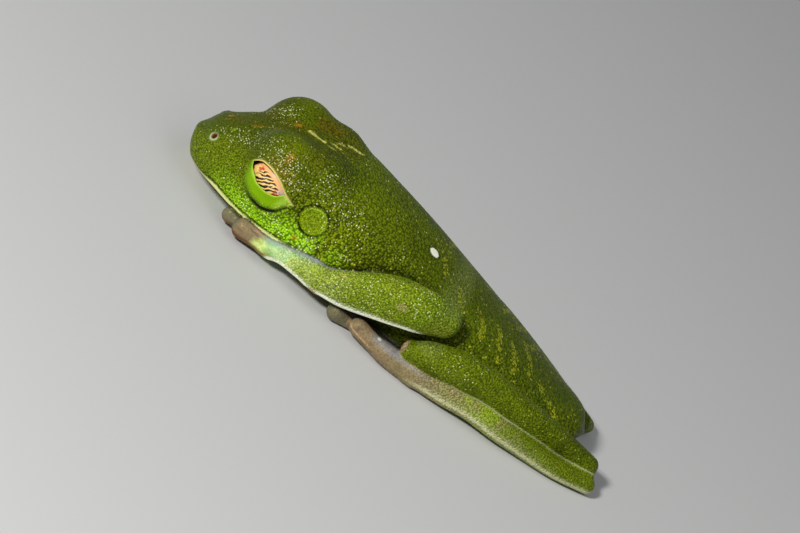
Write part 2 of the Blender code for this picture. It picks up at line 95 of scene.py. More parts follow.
# Ear, nostrils and lips
EAR_PLACE = 15.6
EAR_TURN = 70.0
EAR_RADIUS = 1.6
NOSTRIL_PLACE = 2.3
NOSTRIL_TURN = 46.0
NOSTRIL_RADIUS = 0.30
LIP_CORNER = 17.2
LIP_FRONT = 1.55
LIP_SIDE = 5.5
JAW_FOLD = [(8.8, 17.4, 6.3), (8.9, 17.7, 5.6), (9.0, 18.0, 5.0), (9.0, 18.4, 4.4)]
EYE_FOLD = [(8.9, 12.4, 7.7), (8.6, 13.1, 8.3), (8.4, 13.8, 8.8), (8.3, 14.7, 9.1), (8.2, 15.6, 9.2),
            (8.2, 16.5, 8.9), (8.2, 17.2, 8.3)]

# Limbs: stations of x, s, z, half width and half height, on the left side
UPPER_ARM = [(6.9, 22.5, 4.2, 1.7, 1.8), (7.5, 26.0, 5.9, 1.9, 2.0), (8.1, 30.0, 7.2, 1.8, 1.9),
             (8.4, 32.6, 7.8, 1.6, 1.7)]
FOREARM = [(9.7, 20.4, 3.3, 1.2, 1.5), (10.0, 23.0, 4.45, 1.5, 2.05), (10.0, 27.0, 6.5, 1.75, 2.6),
           (9.6, 31.0, 7.7, 1.8, 2.5), (9.1, 33.4, 8.0, 1.5, 1.9)]
PALM = [(9.6, 19.0, 3.15, 1.1, 1.35), (9.4, 16.6, 2.95, 1.05, 1.1), (9.2, 15.2, 2.65, 1.0, 0.95),
        (8.8, 13.4, 1.85, 1.0, 1.0)]
THIGH = [(3.0, 51.0, 2.4, 1.6, 1.6), (4.8, 46.5, 2.3, 2.2, 1.9), (6.6, 41.0, 2.4, 2.4, 2.0),
         (8.1, 36.5, 2.5, 1.9, 1.8), (9.1, 33.6, 2.7, 1.3, 1.3)]
SHANK = [(10.3, 32.5, 3.3, 1.1, 1.15), (10.3, 34.6, 4.1, 1.55, 1.75), (10.0, 38.5, 5.05, 1.75, 2.0),
         (9.2, 41.5, 5.0, 1.7, 1.9), (8.4, 45.0, 4.45, 1.6, 1.8), (6.8, 49.8, 3.75, 1.45, 1.55),
         (5.4, 54.0, 2.95, 1.25, 1.3), (4.6, 56.8, 2.45, 1.1, 1.1)]
SOLE = [(6.0, 57.6, 1.1, 1.15, 1.05), (7.5, 53.6, 1.15, 1.3, 1.15), (8.6, 49.0, 1.5, 1.35, 1.35),
        (9.55, 45.3, 1.85, 1.3, 1.45), (10.0, 41.7, 2.1, 1.3, 1.5), (10.4, 38.0, 1.85, 1.35, 1.55),
        (10.6, 34.0, 1.45, 1.35, 1.35)]
FINGERS = [
    [(8.7, 14.0, 1.9, 0.9, 0.9), (8.5, 12.0, 1.75, 0.95, 1.05), (8.3, 10.3, 1.6, 1.0, 1.2)],
    [(8.0, 14.0, 1.6, 0.7, 0.7), (7.5, 10.8, 1.35, 0.55, 0.6), (7.0, 8.55, 1.4, 0.9, 0.95)],
    [(8.0, 15.6, 1.9, 0.7, 0.7), (6.2, 13.5, 0.6, 0.5, 0.5), (5.0, 11.6, 0.4, 0.8, 0.5)],
    [(8.2, 17.2, 2.2, 0.7, 0.7), (6.2, 16.6, 0.8, 0.5, 0.5), (4.7, 15.6, 0.4, 0.75, 0.5)],
]
TOES = [
    [(10.8, 34.5, 1.35, 1.15, 1.25), (10.7, 31.0, 1.25, 1.15, 1.2), (10.45, 28.6, 1.35, 0.95, 1.0),
     (10.1, 26.5, 1.6, 1.0, 1.0)],
    [(9.8, 34.5, 1.0, 0.7, 0.8), (9.2, 29.0, 0.75, 0.5, 0.55), (9.2, 26.4, 0.8, 0.5, 0.55),
     (9.3, 23.8, 1.05, 1.2, 1.05)],
    [(9.6, 36.0, 1.0, 0.6, 0.7), (8.8, 31.5, 0.6, 0.5, 0.5), (8.2, 28.6, 0.4, 0.85, 0.5)],
    [(9.6, 38.5, 1.0, 0.6, 0.7), (8.1, 34.5, 0.6, 0.5, 0.5), (7.2, 32.2, 0.4, 0.8, 0.5)],
    [(9.6, 41.5, 1.0, 0.6, 0.7), (7.8, 38.8, 0.6, 0.5, 0.5), (6.7, 37.0, 0.4, 0.75, 0.5)],
]
LIMB_ROUNDNESS = 2.2
RIGHT_LEG_SHIFT = -1.6
RIGHT_LEG_HEIGHT = 0.62
RIGHT_ARM_SHIFT = -0.5
RIGHT_ARM_HEIGHT = 0.55

# Spacing of a loft's rings and number of their sides: limbs, fingers and toes, and lines along a limb
LIMB_GRID = (0.25, 40)
DIGIT_GRID = (0.12, 24)
LINE_GRID = (0.5, 72)

# How each limb piece joins what is already there: softness in mm, small for a crease
CREASE = 0.12
PIECE_SOFTNESS = {"upper_arm": 0.4, "forearm": 0.9, "palm": 1.0, "finger": 0.45, "thigh": 0.4,
                  "shank": CREASE, "sole": 0.15, "toe": 0.4}

# Samples along the lip and along the crease under the eye, and how the lip's gather at its front
LIP_STEPS = 40
LIP_CROWDING = 1.6
CREASE_STEPS = 61

# Numbers that scramble whole-numbered places into chance values
SCRAMBLE = (73856093, 19349663, 83492791)
SCRAMBLE_SEED = 2654435761
SCRAMBLE_LAST = 1274126177
SCRAMBLE_OFFSET = 4096


def profile(knots, at):
    """Values at the places asked for, on a smooth curve through the knots that never overshoots them."""
    places, values = np.array(knots, float).T
    at = np.clip(np.asarray(at, float), places[0], places[-1])
    steps = np.diff(places)
    slopes = np.diff(values) / steps
    tangents = np.concatenate([slopes[:1], np.zeros(len(places) - 2), slopes[-1:]])
    for i in range(1, len(places) - 1):
        if slopes[i - 1] * slopes[i] > 0:
            before = 2 * steps[i] + steps[i - 1]
            after = steps[i] + 2 * steps[i - 1]
            tangents[i] = (before + after) / (before / slopes[i - 1] + after / slopes[i])
    i = np.clip(np.searchsorted(places, at, side="right") - 1, 0, len(steps) - 1)
    t = (at - places[i]) / steps[i]
    start = (1 + 2 * t) * (1 - t) ** 2 * values[i] + t * (1 - t) ** 2 * steps[i] * tangents[i]
    end = t * t * (3 - 2 * t) * values[i + 1] + t * t * (t - 1) * steps[i] * tangents[i + 1]
    return start + end


def unit(vectors):
    """Vectors at length one."""
    vectors = np.asarray(vectors, float)
    return vectors / np.maximum(np.linalg.norm(vectors, axis=-1, keepdims=True), 1e-9)


def fade(value, start, end):
    """0 at start and 1 at end, smoothly between, either way round."""
    t = np.clip((value - start) / (end - start), 0, 1)
    return t * t * (3 - 2 * t)


def bell(value, width):
    """1 at zero, falling off to nothing over about twice the width."""
    return np.exp(-(value / width) ** 2)


def section(turn, across, up, down, roundness_up, roundness_down):
    """Sideways and upward offsets of a rounded section; turn 0 is its top, 90 degrees its left side."""
    angle = np.radians(turn)
    side, lift = np.sin(angle), np.cos(angle)
    power = 2 / np.where(lift > 0, roundness_up, roundness_down)
    sideways = across * np.sign(side) * np.abs(side) ** power
    upward = np.where(lift > 0, up, down) * np.sign(lift) * np.abs(lift) ** power
    return sideways, upward


def body_point(s, turn):
    """Places on the bare head and body, s behind the snout and turned from the midline of the back."""
    s, turn = np.broadcast_arrays(np.asarray(s, float), np.asarray(turn, float))
    middle = profile(WIDEST, s)
    x, z = section(turn, profile(HALF_WIDTH, s), profile(BACK, s) - middle, middle - profile(BELLY, s),
                   profile(BACK_ROUNDNESS, s), profile(BELLY_ROUNDNESS, s))
    return np.stack([x, s, middle + z], -1)


def limb_rings(stations, spacing, sides):
    """Rings along a limb with round ends, and the two points that close it."""
    stations = np.array(stations, float)
    steps = np.linalg.norm(np.diff(stations[:, :3], axis=0), axis=1)
    along = np.concatenate([[0.0], np.cumsum(steps)])
    at = np.linspace(0, along[-1], max(4, int(along[-1] / spacing) + 1))
    values = np.stack([profile(np.stack([along, column], 1), at) for column in stations.T], 1)
    centre, sizes = values[:, :3], values[:, 3:]
    tangent = unit(np.gradient(centre, axis=0))
    end_steps = max(3, int(sizes.mean() / spacing * 1.5))
    steps = np.sin(np.radians(90 * np.arange(1, end_steps + 1) / (end_steps + 1)))
    shrink = np.sqrt(1 - steps ** 2)
    ends = []
    for index, sign in ((0, -1), (-1, 1)):
        reach = sizes[index].mean()
        ends.append((centre[index] + sign * reach * steps[:, None] * tangent[index],
                     sizes[index] * shrink[:, None], np.repeat(tangent[index][None], end_steps, 0),
                     centre[index] + sign * reach * tangent[index]))
    first, last = ends
    centre = np.concatenate([first[0][::-1], centre, last[0]])
    sizes = np.concatenate([first[1][::-1], sizes, last[1]])
    tangent = np.concatenate([first[2][::-1], tangent, last[2]])
    side = unit(np.cross(tangent, (0.0, 0.0, 1.0)))
    lift = np.cross(side, tangent)
    turn = np.arange(sides) * 360 / sides
    across, upward = section(turn[None], sizes[:, :1], sizes[:, 1:], sizes[:, 1:], LIMB_ROUNDNESS,
                             LIMB_ROUNDNESS)
    rings = centre[:, None] + across[..., None] * side[:, None] + upward[..., None] * lift[:, None]
    return rings, first[3], last[3]


def mirrored(stations, shift, lowering):
    """The same limb on the right side, moved along the body, with its underside that much lower."""
    moved = []
    for x, s, z, half_width, half_height in stations:
        height = half_height * (1 + lowering) / 2
        moved.append((-x, s + shift, (z - half_height) * lowering + height, half_width, height))
    return moved


def arm_rows(side, rows):
    """An arm piece's stations on one side."""
    return rows if side > 0 else mirrored(rows, RIGHT_ARM_SHIFT, RIGHT_ARM_HEIGHT)


def leg_rows(side, rows):
    """A leg piece's stations on one side."""
    return rows if side > 0 else mirrored(rows, RIGHT_LEG_SHIFT, RIGHT_LEG_HEIGHT)


class Field:
    """Distances to one closed form, in a block of the common grid."""

    def __init__(self, low, values):
        self.low = low
        self.values = values

    @property
    def block(self):
        """The block's place in the common grid."""
        return tuple(slice(a, a + n) for a, n in zip(self.low, self.values.shape))

    def at(self, places):
        """Distances at places, read between the grid's points."""
        where = (places - LOW) / VOXEL - self.low
        inside = ((where >= 0) & (where < np.array(self.values.shape) - 1)).all(1)
        found = np.full(len(places), BAND)
        where = where[inside]
        cell = where.astype(int)
        part = where - cell
        total = 0
        for corner in np.ndindex(2, 2, 2):
            weight = np.prod(np.where(corner, part, 1 - part), axis=1)
            i, j, k = (cell + corner).T
            total = total + weight * self.values[i, j, k]
        found[inside] = total
        return found


def grid_shape():
    """Number of points of the common grid each way."""
    return np.ceil((HIGH - LOW) / VOXEL).astype(int)


def loft_field(rings, start, end):
    """Distances to the closed loft through rings of points."""
    count, sides = rings.shape[:2]
    points = np.concatenate([rings.reshape(-1, 3), [start, end]])
    row = np.arange(count - 1)[:, None] * sides
    i = np.arange(sides)[None]
    j = (i + 1) % sides
    quads = np.stack([row + i, row + j, row + sides + j, row + sides + i], -1).reshape(-1, 4)
    last = (count - 1) * sides
    caps = np.concatenate([np.stack([j[0], i[0], np.full(sides, count * sides)], 1),
                           np.stack([last + i[0], last + j[0], np.full(sides, count * sides + 1)], 1)])
    indexed = (points - LOW) / VOXEL
    grid = vdb.FloatGrid.createLevelSetFromPolygons(
        np.ascontiguousarray(indexed, dtype=np.float32),
        triangles=np.ascontiguousarray(caps, dtype=np.uint32),
        quads=np.ascontiguousarray(quads, dtype=np.uint32),
        transform=vdb.createLinearTransform(1.0),
        halfWidth=BAND / VOXEL)
    margin = int(BAND / VOXEL) + 1
    low = np.maximum(np.floor(indexed.min(0)).astype(int) - margin, 0)
    high = np.minimum(np.ceil(indexed.max(0)).astype(int) + margin, grid_shape())
    values = np.empty(high - low, np.float32)
    grid.copyToArray(values, ijk=tuple(int(v) for v in low))
    return Field(low, values * VOXEL)


def places_of(low, shape):
    """The three coordinates of a block's points, ready to broadcast."""
    return [(LOW[a] + (low[a] + np.arange(shape[a])) * VOXEL).astype(np.float32).reshape(
        [-1 if b == a else 1 for b in range(3)]) for a in range(3)]


def join(whole, part, softness):
    """Adds a form to a field, with a soft fillet of the given size, or a crease where it is small."""
    region = whole[part.block]
    gap = np.maximum(softness - np.abs(region - part.values), 0)
    whole[part.block] = np.minimum(region, part.values) - gap * gap / (4 * softness)


def ball_block(centre, reach):
    """The part of the common grid around a place."""
    low = np.maximum(((centre - reach - LOW) / VOXEL).astype(int), 0)
    high = np.minimum(((centre + reach - LOW) / VOXEL).astype(int) + 1, grid_shape())
    return low, high - low


def block_distance(places, centre):
    """Distance of a block's points to a place."""
    return np.sqrt(sum((places[a] - centre[a]) ** 2 for a in range(3)))


def slit_frame(side):
    """Outward, along and upward directions of one eye's slit."""
    flip = np.array([side, 1.0, 1.0])
    outward = unit(SLIT_OUTWARD)
    along = unit(SLIT_ALONG - np.dot(SLIT_ALONG, outward) * outward)
    upward = np.cross(outward, along)
    return outward * flip, along * flip, upward * flip


def slit_places(places, side):
    """Places as seen in the plane of the slit: behind its front corner, above it, and outward of the ball."""
    outward, along, upward = slit_frame(side)
    centre = EYE_CENTRE * (side, 1, 1)
    t = sum((places[a] - centre[a]) * along[a] for a in range(3)) - SLIT_CORNER[0]
    v = sum((places[a] - centre[a]) * upward[a] for a in range(3)) - SLIT_CORNER[1]
    w = sum((places[a] - centre[a]) * outward[a] for a in range(3))
    return t, v, w


def margin_heights(t):
    """Heights of the upper and lower margin of the slit behind its front corner."""
    return profile(UPPER_MARGIN, t), profile(LOWER_MARGIN, t)


def carve_slit(whole, side):
    """Lays open the eyeball between the lids."""
    centre = EYE_CENTRE * (side, 1, 1)
    low, shape = ball_block(centre, LID_RADIUS + 0.5)
    block = tuple(slice(a, a + n) for a, n in zip(low, shape))
    places = places_of(low, shape)
    t, v, w = slit_places(places, side)
    upper, lower = margin_heights(t)
    outside = np.maximum(np.maximum(v - upper, lower - v), np.maximum(-t, t - UPPER_MARGIN[-1][0]))
    outside = np.maximum(outside, np.maximum(SOCKET_RADIUS - block_distance(places, centre), -w))
    whole[block] = np.maximum(whole[block], -outside)


def build_body():
    """Field of the head and trunk with the balls of the lids."""
    whole = np.full(grid_shape(), BAND, np.float32)
    start, end = HALF_WIDTH[0][0], HALF_WIDTH[-1][0]
    places = start + (end - start) * (1 - np.cos(np.linspace(0, np.pi, BODY_RINGS))) / 2
    turns = np.arange(BODY_SIDES) * 360 / BODY_SIDES
    rings = body_point(places[1:-1][:, None], turns[None])
    body = loft_field(rings, body_point(places[0], 0.0), body_point(places[-1], 0.0))
    join(whole, body, CREASE)
    balls = ((EYE_CENTRE, LID_RADIUS), (BROW_CENTRE, BROW_RADIUS), (TEMPLE_CENTRE, TEMPLE_RADIUS))
    for side in (1, -1):
        for middle, size in balls:
            centre = middle * (side, 1, 1)
            low, shape = ball_block(centre, size + BAND)
            distance = block_distance(places_of(low, shape), centre)
            join(whole, Field(low, np.clip(distance - size, -BAND, BAND)), LID_SOFTNESS)
    return whole


def build_limbs(side):
    """Fields of one side's limb groups: arm, hand, leg (thigh), shank and foot."""
    groups = {
        "arm": [("upper_arm", arm_rows(side, UPPER_ARM)), ("forearm", arm_rows(side, FOREARM))],
        "hand": [("palm", arm_rows(side, PALM))] + [("finger", arm_rows(side, rows)) for rows in FINGERS],
        "thigh": [("thigh", leg_rows(side, THIGH))],
        "shank": [("shank", leg_rows(side, SHANK))],
        "foot": [("sole", leg_rows(side, SOLE))] + [("toe", leg_rows(side, rows)) for rows in TOES],
    }
    fields = {}
    for group, pieces in groups.items():
        whole = np.full(grid_shape(), BAND, np.float32)
        lows, highs = [], []
        for name, rows in pieces:
            grid = DIGIT_GRID if name in ("finger", "toe") else LIMB_GRID
            part = loft_field(*limb_rings(rows, *grid))
            join(whole, part, PIECE_SOFTNESS[name])
            lows.append(part.low)
            highs.append(part.low + part.values.shape)
        low, high = np.min(lows, 0), np.max(highs, 0)
        block = tuple(slice(a, b) for a, b in zip(low, high))
        fields[group] = Field(low, whole[block].copy())
    return fields


def group_softness(group, field):
    """How softly a limb group joins the rest along the body: creases, and fillets at the roots."""
    s = places_of(field.low, field.values.shape)[1]
    if group == "arm":
        return CREASE + 1.1 * fade(s, 29.5, 33.5)
    if group == "hand":
        return 0.25 + 0.9 * fade(s, 15.5, 18.5)
    if group == "thigh":
        return 0.3 + 0.7 * fade(s, 45.0, 50.0)
    if group == "shank":
        return CREASE + 0.6 * fade(s, 34.0, 31.0) + 0.3 * fade(s, 53.0, 57.0)
    return 0.45 + 0.5 * fade(s, 53.5, 57.0)


def mesh_from(whole):
    """Places and quads of the surface of a field, only its largest closed piece."""
    grid = vdb.FloatGrid(BAND)
    grid.transform = vdb.createLinearTransform(1.0)
    grid.copyFromArray(np.ascontiguousarray(whole), ijk=(0, 0, 0), tolerance=0.0)
    points, quads = grid.convertToQuads(0.0)
    points = points.astype(float) * VOXEL + LOW
    quads = quads.astype(np.int64)
    label = np.arange(len(points))
    while True:
        least = label[quads].min(1)
        new = label.copy()
        for corner in range(4):
            np.minimum.at(new, quads[:, corner], least)
        new = new[new]
        if (new == label).all():
            break
        label = new
    names, counts = np.unique(label, return_counts=True)
    keep = label == names[counts.argmax()]
    number = np.cumsum(keep) - 1
    quads = number[quads[keep[quads[:, 0]]]]
    points = points[keep]
    normals = corner_normals(points, quads)
    outward = (normals * (points - points.mean(0))).sum(1).mean()
    if outward < 0:
        quads = quads[:, ::-1]
        normals = -normals
    return points, quads, normals


def corner_normals(points, quads):
    """The surface's direction at each point."""
    a, b, c, d = points[quads].transpose(1, 0, 2)
    face = np.cross(c - a, d - b)
    total = np.zeros_like(points)
    for axis in range(3):
        for corner in range(4):
            total[:, axis] += np.bincount(quads[:, corner], face[:, axis], len(points))
    return unit(total)


def lattice(cell, seed):
    """A repeatable value between 0 and 1 for each whole-numbered place."""
    x, y, z = ((cell.astype(np.int64) + SCRAMBLE_OFFSET) * SCRAMBLE).T
    value = x ^ y ^ z ^ (seed * SCRAMBLE_SEED)
    value = (value ^ (value >> 13)) * SCRAMBLE_LAST & 0x7FFFFFFF
    return ((value ^ (value >> 16)) & 0xFFFF) / 0xFFFF


def noise(places, size, seed):
    """Smooth noise between 0 and 1 with lumps of about the given size."""
    where = places / size
    cell = np.floor(where).astype(int)
    part = where - cell
    part = part * part * (3 - 2 * part)
    total = 0
    for corner in np.ndindex(2, 2, 2):
        weight = np.prod(np.where(corner, part, 1 - part), axis=1)
        total = total + weight * lattice(cell + corner, seed)
    return total


def line_distance(places, path):
    """Distance to a line through points, and how far along it the nearest one is; no more than the reach."""
    path = np.asarray(path, float)
    inside = ((places > path.min(0) - LINE_REACH) & (places < path.max(0) + LINE_REACH)).all(1)
    if not inside.all():
        near = np.full(len(places), LINE_REACH)
        along = np.zeros(len(places))
        near[inside], along[inside] = line_distance(places[inside], path)
        return near, along
    lengths = np.concatenate([[0.0], np.cumsum(np.linalg.norm(np.diff(path, axis=0), axis=1))])
    near = np.full(len(places), LINE_REACH)
    along = np.zeros(len(places))
    for i in range(len(path) - 1):
        a, step = path[i], path[i + 1] - path[i]
        t = np.clip((places - a) @ step / max(step @ step, 1e-12), 0, 1)
        away = np.linalg.norm(places - a - t[:, None] * step, axis=1)
        closer = away < near
        near[closer] = away[closer]
        along[closer] = (lengths[i] + t[closer] * (lengths[i + 1] - lengths[i])) / lengths[-1]
    return near, along


def tone(red, green, blue):
    """A colour given as it shows on a screen, 0 to 255, in the renderer's own numbers."""
    values = np.array([red, green, blue]) / 255
    return np.where(values <= 0.04045, values / 12.92, ((values + 0.055) / 1.055) ** 2.4)


# Skin colours, as they show on a screen in plain light
OLIVE = tone(88, 104, 4)
DARK_OLIVE = tone(56, 70, 1)
FLANK_GREEN = tone(98, 112, 2)
CHEEK_GREEN = tone(132, 178, 22)
SNOUT_GREEN = tone(88, 106, 8)
BROW_OLIVE = tone(108, 120, 8)
LID_GREEN = tone(114, 156, 2)
LID_PALE = tone(172, 204, 70)
EAR_GREEN = tone(112, 134, 6)
ARM_GREEN = tone(108, 128, 22)
ELBOW_GREEN = tone(96, 119, 9)
WRIST_PALE = tone(138, 156, 58)
HAND_GREEN = tone(204, 222, 130)
LILAC = tone(150, 156, 168)
DIGIT_BROWN = tone(130, 112, 84)
DIGIT_GREY = tone(112, 107, 82)
SHANK_GREEN = tone(90, 106, 6)
FOOT_GREEN = tone(136, 158, 34)
FOOT_MAUVE = tone(132, 118, 84)
CREAM = tone(238, 240, 216)
# Painted highlight: the pale colour of the wet glints painted on the granules' tops
GLINT = tone(240, 236, 196)
LIP_CREAM = tone(206, 206, 138)
ORANGE = tone(168, 118, 24)
YELLOW = tone(176, 178, 36)
STREAK = tone(196, 192, 92)
BROWN = tone(112, 54, 14)
# Painted shade: the near-black laid in creases, grooves and gaps and under overhangs
SHADE = tone(20, 26, 1)
BELLY_CREAM = tone(206, 198, 164)
THIGH_ORANGE = tone(190, 104, 38)
GOLD = tone(226, 206, 120)
PINK = tone(190, 150, 128)
PURPLE = tone(70, 60, 84)
NOSTRIL_RING = tone(186, 200, 168)
NOSTRIL_RED = tone(92, 28, 8)
TEAL = tone(118, 180, 140)
SHANK_LINE = tone(182, 184, 132)
FOOT_HAZE = tone(160, 166, 110)
FOOT_EDGE = tone(206, 204, 160)
TOE_EDGE = tone(206, 168, 122)
SOCKET_BROWN = tone(70, 34, 20)
LIMB_COLOURS = {"arm": ARM_GREEN, "hand": HAND_GREEN, "thigh": FLANK_GREEN, "shank": SHANK_GREEN,
                "foot": FOOT_GREEN}

# Middles of pale places on the left side
KNUCKLE = np.array([10.7, 29.0, 2.35])
SHOULDER_LIGHT = np.array([9.0, 19.6, 5.6])
BROW_LIGHT = np.array([5.6, 9.9, 12.0])

# Marks on the skin: a line of places, its half width, its colour and its strength
MARKS = [
    ([(1.4, 4.9, 8.8), (1.2, 6.1, 9.6), (1.0, 7.2, 10.2)], 0.16, ORANGE, 0.45),
    ([(-0.8, 2.4, 7.0), (-0.8, 2.8, 7.3)], 0.22, ORANGE, 0.75),
    ([(-0.8, 8.6, 10.9), (-0.8, 9.0, 11.1)], 0.22, ORANGE, 0.6),
    ([(2.3, 3.4, 7.4), (2.3, 3.5, 7.4)], 0.14, CHEEK_GREEN, 0.75),
    ([(-0.4, 10.2, 11.4), (0.1, 11.0, 11.7), (0.5, 11.9, 12.0)], 0.24, STREAK, 0.9),
    ([(1.1, 12.6, 12.2), (1.3, 13.3, 12.3)], 0.13, STREAK, 0.6),
    ([(-0.6, 13.4, 12.3), (-0.8, 14.0, 12.4)], 0.17, STREAK, 0.75),
    ([(0.1, 12.7, 12.2), (0.4, 13.8, 12.4)], 0.15, STREAK, 0.6),
    ([(-1.4, 14.6, 12.5), (-1.6, 15.4, 12.5), (-1.7, 16.3, 12.5)], 0.24, STREAK, 0.85),
    ([(0.8, 14.2, 12.5), (0.8, 14.3, 12.5)], 0.15, CHEEK_GREEN, 0.75),
    ([(7.3, 9.4, 11.4), (7.6, 9.3, 11.1)], 0.40, ORANGE, 0.45),
    ([(-2.6, 11.0, 12.3), (-2.8, 12.6, 12.5)], 1.0, BROWN, 0.16),
    ([(8.8, 15.0, 4.7), (8.8, 15.3, 4.8)], 0.22, ORANGE, 0.7),
    ([(11.6, 28.3, 7.4), (11.6, 28.6, 7.4)], 0.42, PINK, 0.28),
    ([(10.6, 21.6, 6.0), (10.9, 21.7, 4.9)], 0.10, PINK, 0.6),
    ([(11.1, 21.2, 4.3), (11.2, 21.9, 4.2)], 0.12, PURPLE, 0.75),
    ([(11.0, 20.8, 3.8), (11.1, 21.0, 3.7)], 0.12, PURPLE, 0.75),
]

# Where small painted glints (wet highlights painted on granule tops) gather: a place on the left, how far
# around it, and how dense they are
GLINTS = [
    ((8.1, 9.3, 10.6), 2.2, 0.70), ((8.6, 10.9, 10.0), 1.7, 0.65), ((6.9, 7.4, 10.5), 1.7, 0.45),
    ((3.1, 4.2, 7.7), 1.2, 0.60), ((4.1, 5.7, 8.8), 1.3, 0.55), ((2.4, 2.5, 6.4), 0.8, 0.45),
    ((2.2, 7.0, 10.5), 1.2, 0.80), ((8.3, 10.8, 4.6), 1.1, 0.50), ((8.4, 12.5, 4.7), 1.2, 0.45),
    ((7.7, 9.0, 3.8), 1.0, 0.45), ((6.5, 15.0, 11.6), 2.2, 0.35), ((7.4, 18.0, 9.6), 2.2, 0.42),
    ((8.5, 19.4, 7.3), 1.7, 0.25), ((11.4, 22.1, 4.5), 1.6, 0.50), ((11.6, 24.9, 6.3), 2.2, 0.30),
    ((10.3, 30.3, 9.5), 2.2, 0.30), ((9.6, 17.0, 4.0), 2.0, 0.50), ((12.0, 38.0, 5.6), 2.2, 0.15),
]

# Broken yellow bars on the flank, and its one cream spot: distance behind the snout, turn from the midline
BARS = [
    [(30.2, 11), (31.0, 22)],
    [(33.4, 20), (34.2, 35), (34.6, 46)],
    [(36.6, 20), (37.8, 30), (38.0, 40)],
    [(39.6, 14), (40.6, 30), (41.1, 47)],
    [(41.7, 13), (43.0, 26), (43.4, 44)],
    [(43.6, -1), (45.0, 15), (45.4, 29)],
    [(46.7, 26), (47.7, 33)],
    [(48.7, 36), (50.4, 56)],
]
FLANK_SPOT = (28.6, 17)


def paint(colour, ink, amount):
    """Lays an ink over the colours by an amount for each point."""
    amount = np.clip(amount, 0, 1)[:, None]
    colour += (ink - colour) * amount


def build_skin():
    """Grows and carves the skin; returns its points, faces, directions and the distances to its forms."""
    whole = build_body()
    body = Field(np.zeros(3, int), whole.copy())
    limbs = {}
    for side in (1, -1):
        for group, field in build_limbs(side).items():
            join(whole, field, group_softness(group, field))
            limbs[side, group] = field
    for side in (1, -1):
        carve_slit(whole, side)
    z = places_of(np.zeros(3, int), grid_shape())[2]
    whole = np.maximum(whole, -z)
    points, quads, normals = mesh_from(whole)
    return points, quads, normals, body.at(points), {key: field.at(points) for key, field in limbs.items()}


def lip_path():
    """The edge of the upper lip from corner to corner, on the widest line of the head."""
    places = LIP_FRONT + (LIP_CORNER - LIP_FRONT) * np.linspace(0, 1, LIP_STEPS) ** LIP_CROWDING
    turns = 180 - 90 * np.clip((places - LIP_FRONT) / (LIP_SIDE - LIP_FRONT), 0, 1) ** 0.5
    left = body_point(places, turns)
    return np.concatenate([(left * (-1, 1, 1))[::-1], left[1:]])


def limb_line(rows, turn):
    """A line along a limb, turned from its top."""
    rings, _, _ = limb_rings(rows, *LINE_GRID)
    sides = LINE_GRID[1]
    return rings[:, round(turn * sides / 360) % sides]


def crease_offset(t, v):
    """Distance below the crease under the lower lid (negative on the lid), and how far along it."""
    steps = np.linspace(0, 1, CREASE_STEPS)
    own = np.linspace(0, 1, len(LID_CREASE))
    path = np.stack([profile(np.stack([own, column], 1), steps) for column in np.array(LID_CREASE).T], 1)
    away, along = line_distance(np.stack([t, v], 1), path)
    middle = np.array(LID_MIDDLE)
    lengths = np.concatenate([[0.0], np.cumsum(np.linalg.norm(np.diff(path, axis=0), axis=1))])
    nearest = np.stack([np.interp(along, lengths / lengths[-1], path[:, a]) for a in range(2)], 1)
    outside = np.hypot(t - middle[0], v - middle[1]) > np.linalg.norm(nearest - middle, axis=1)
    return np.where(outside, away, -away), along


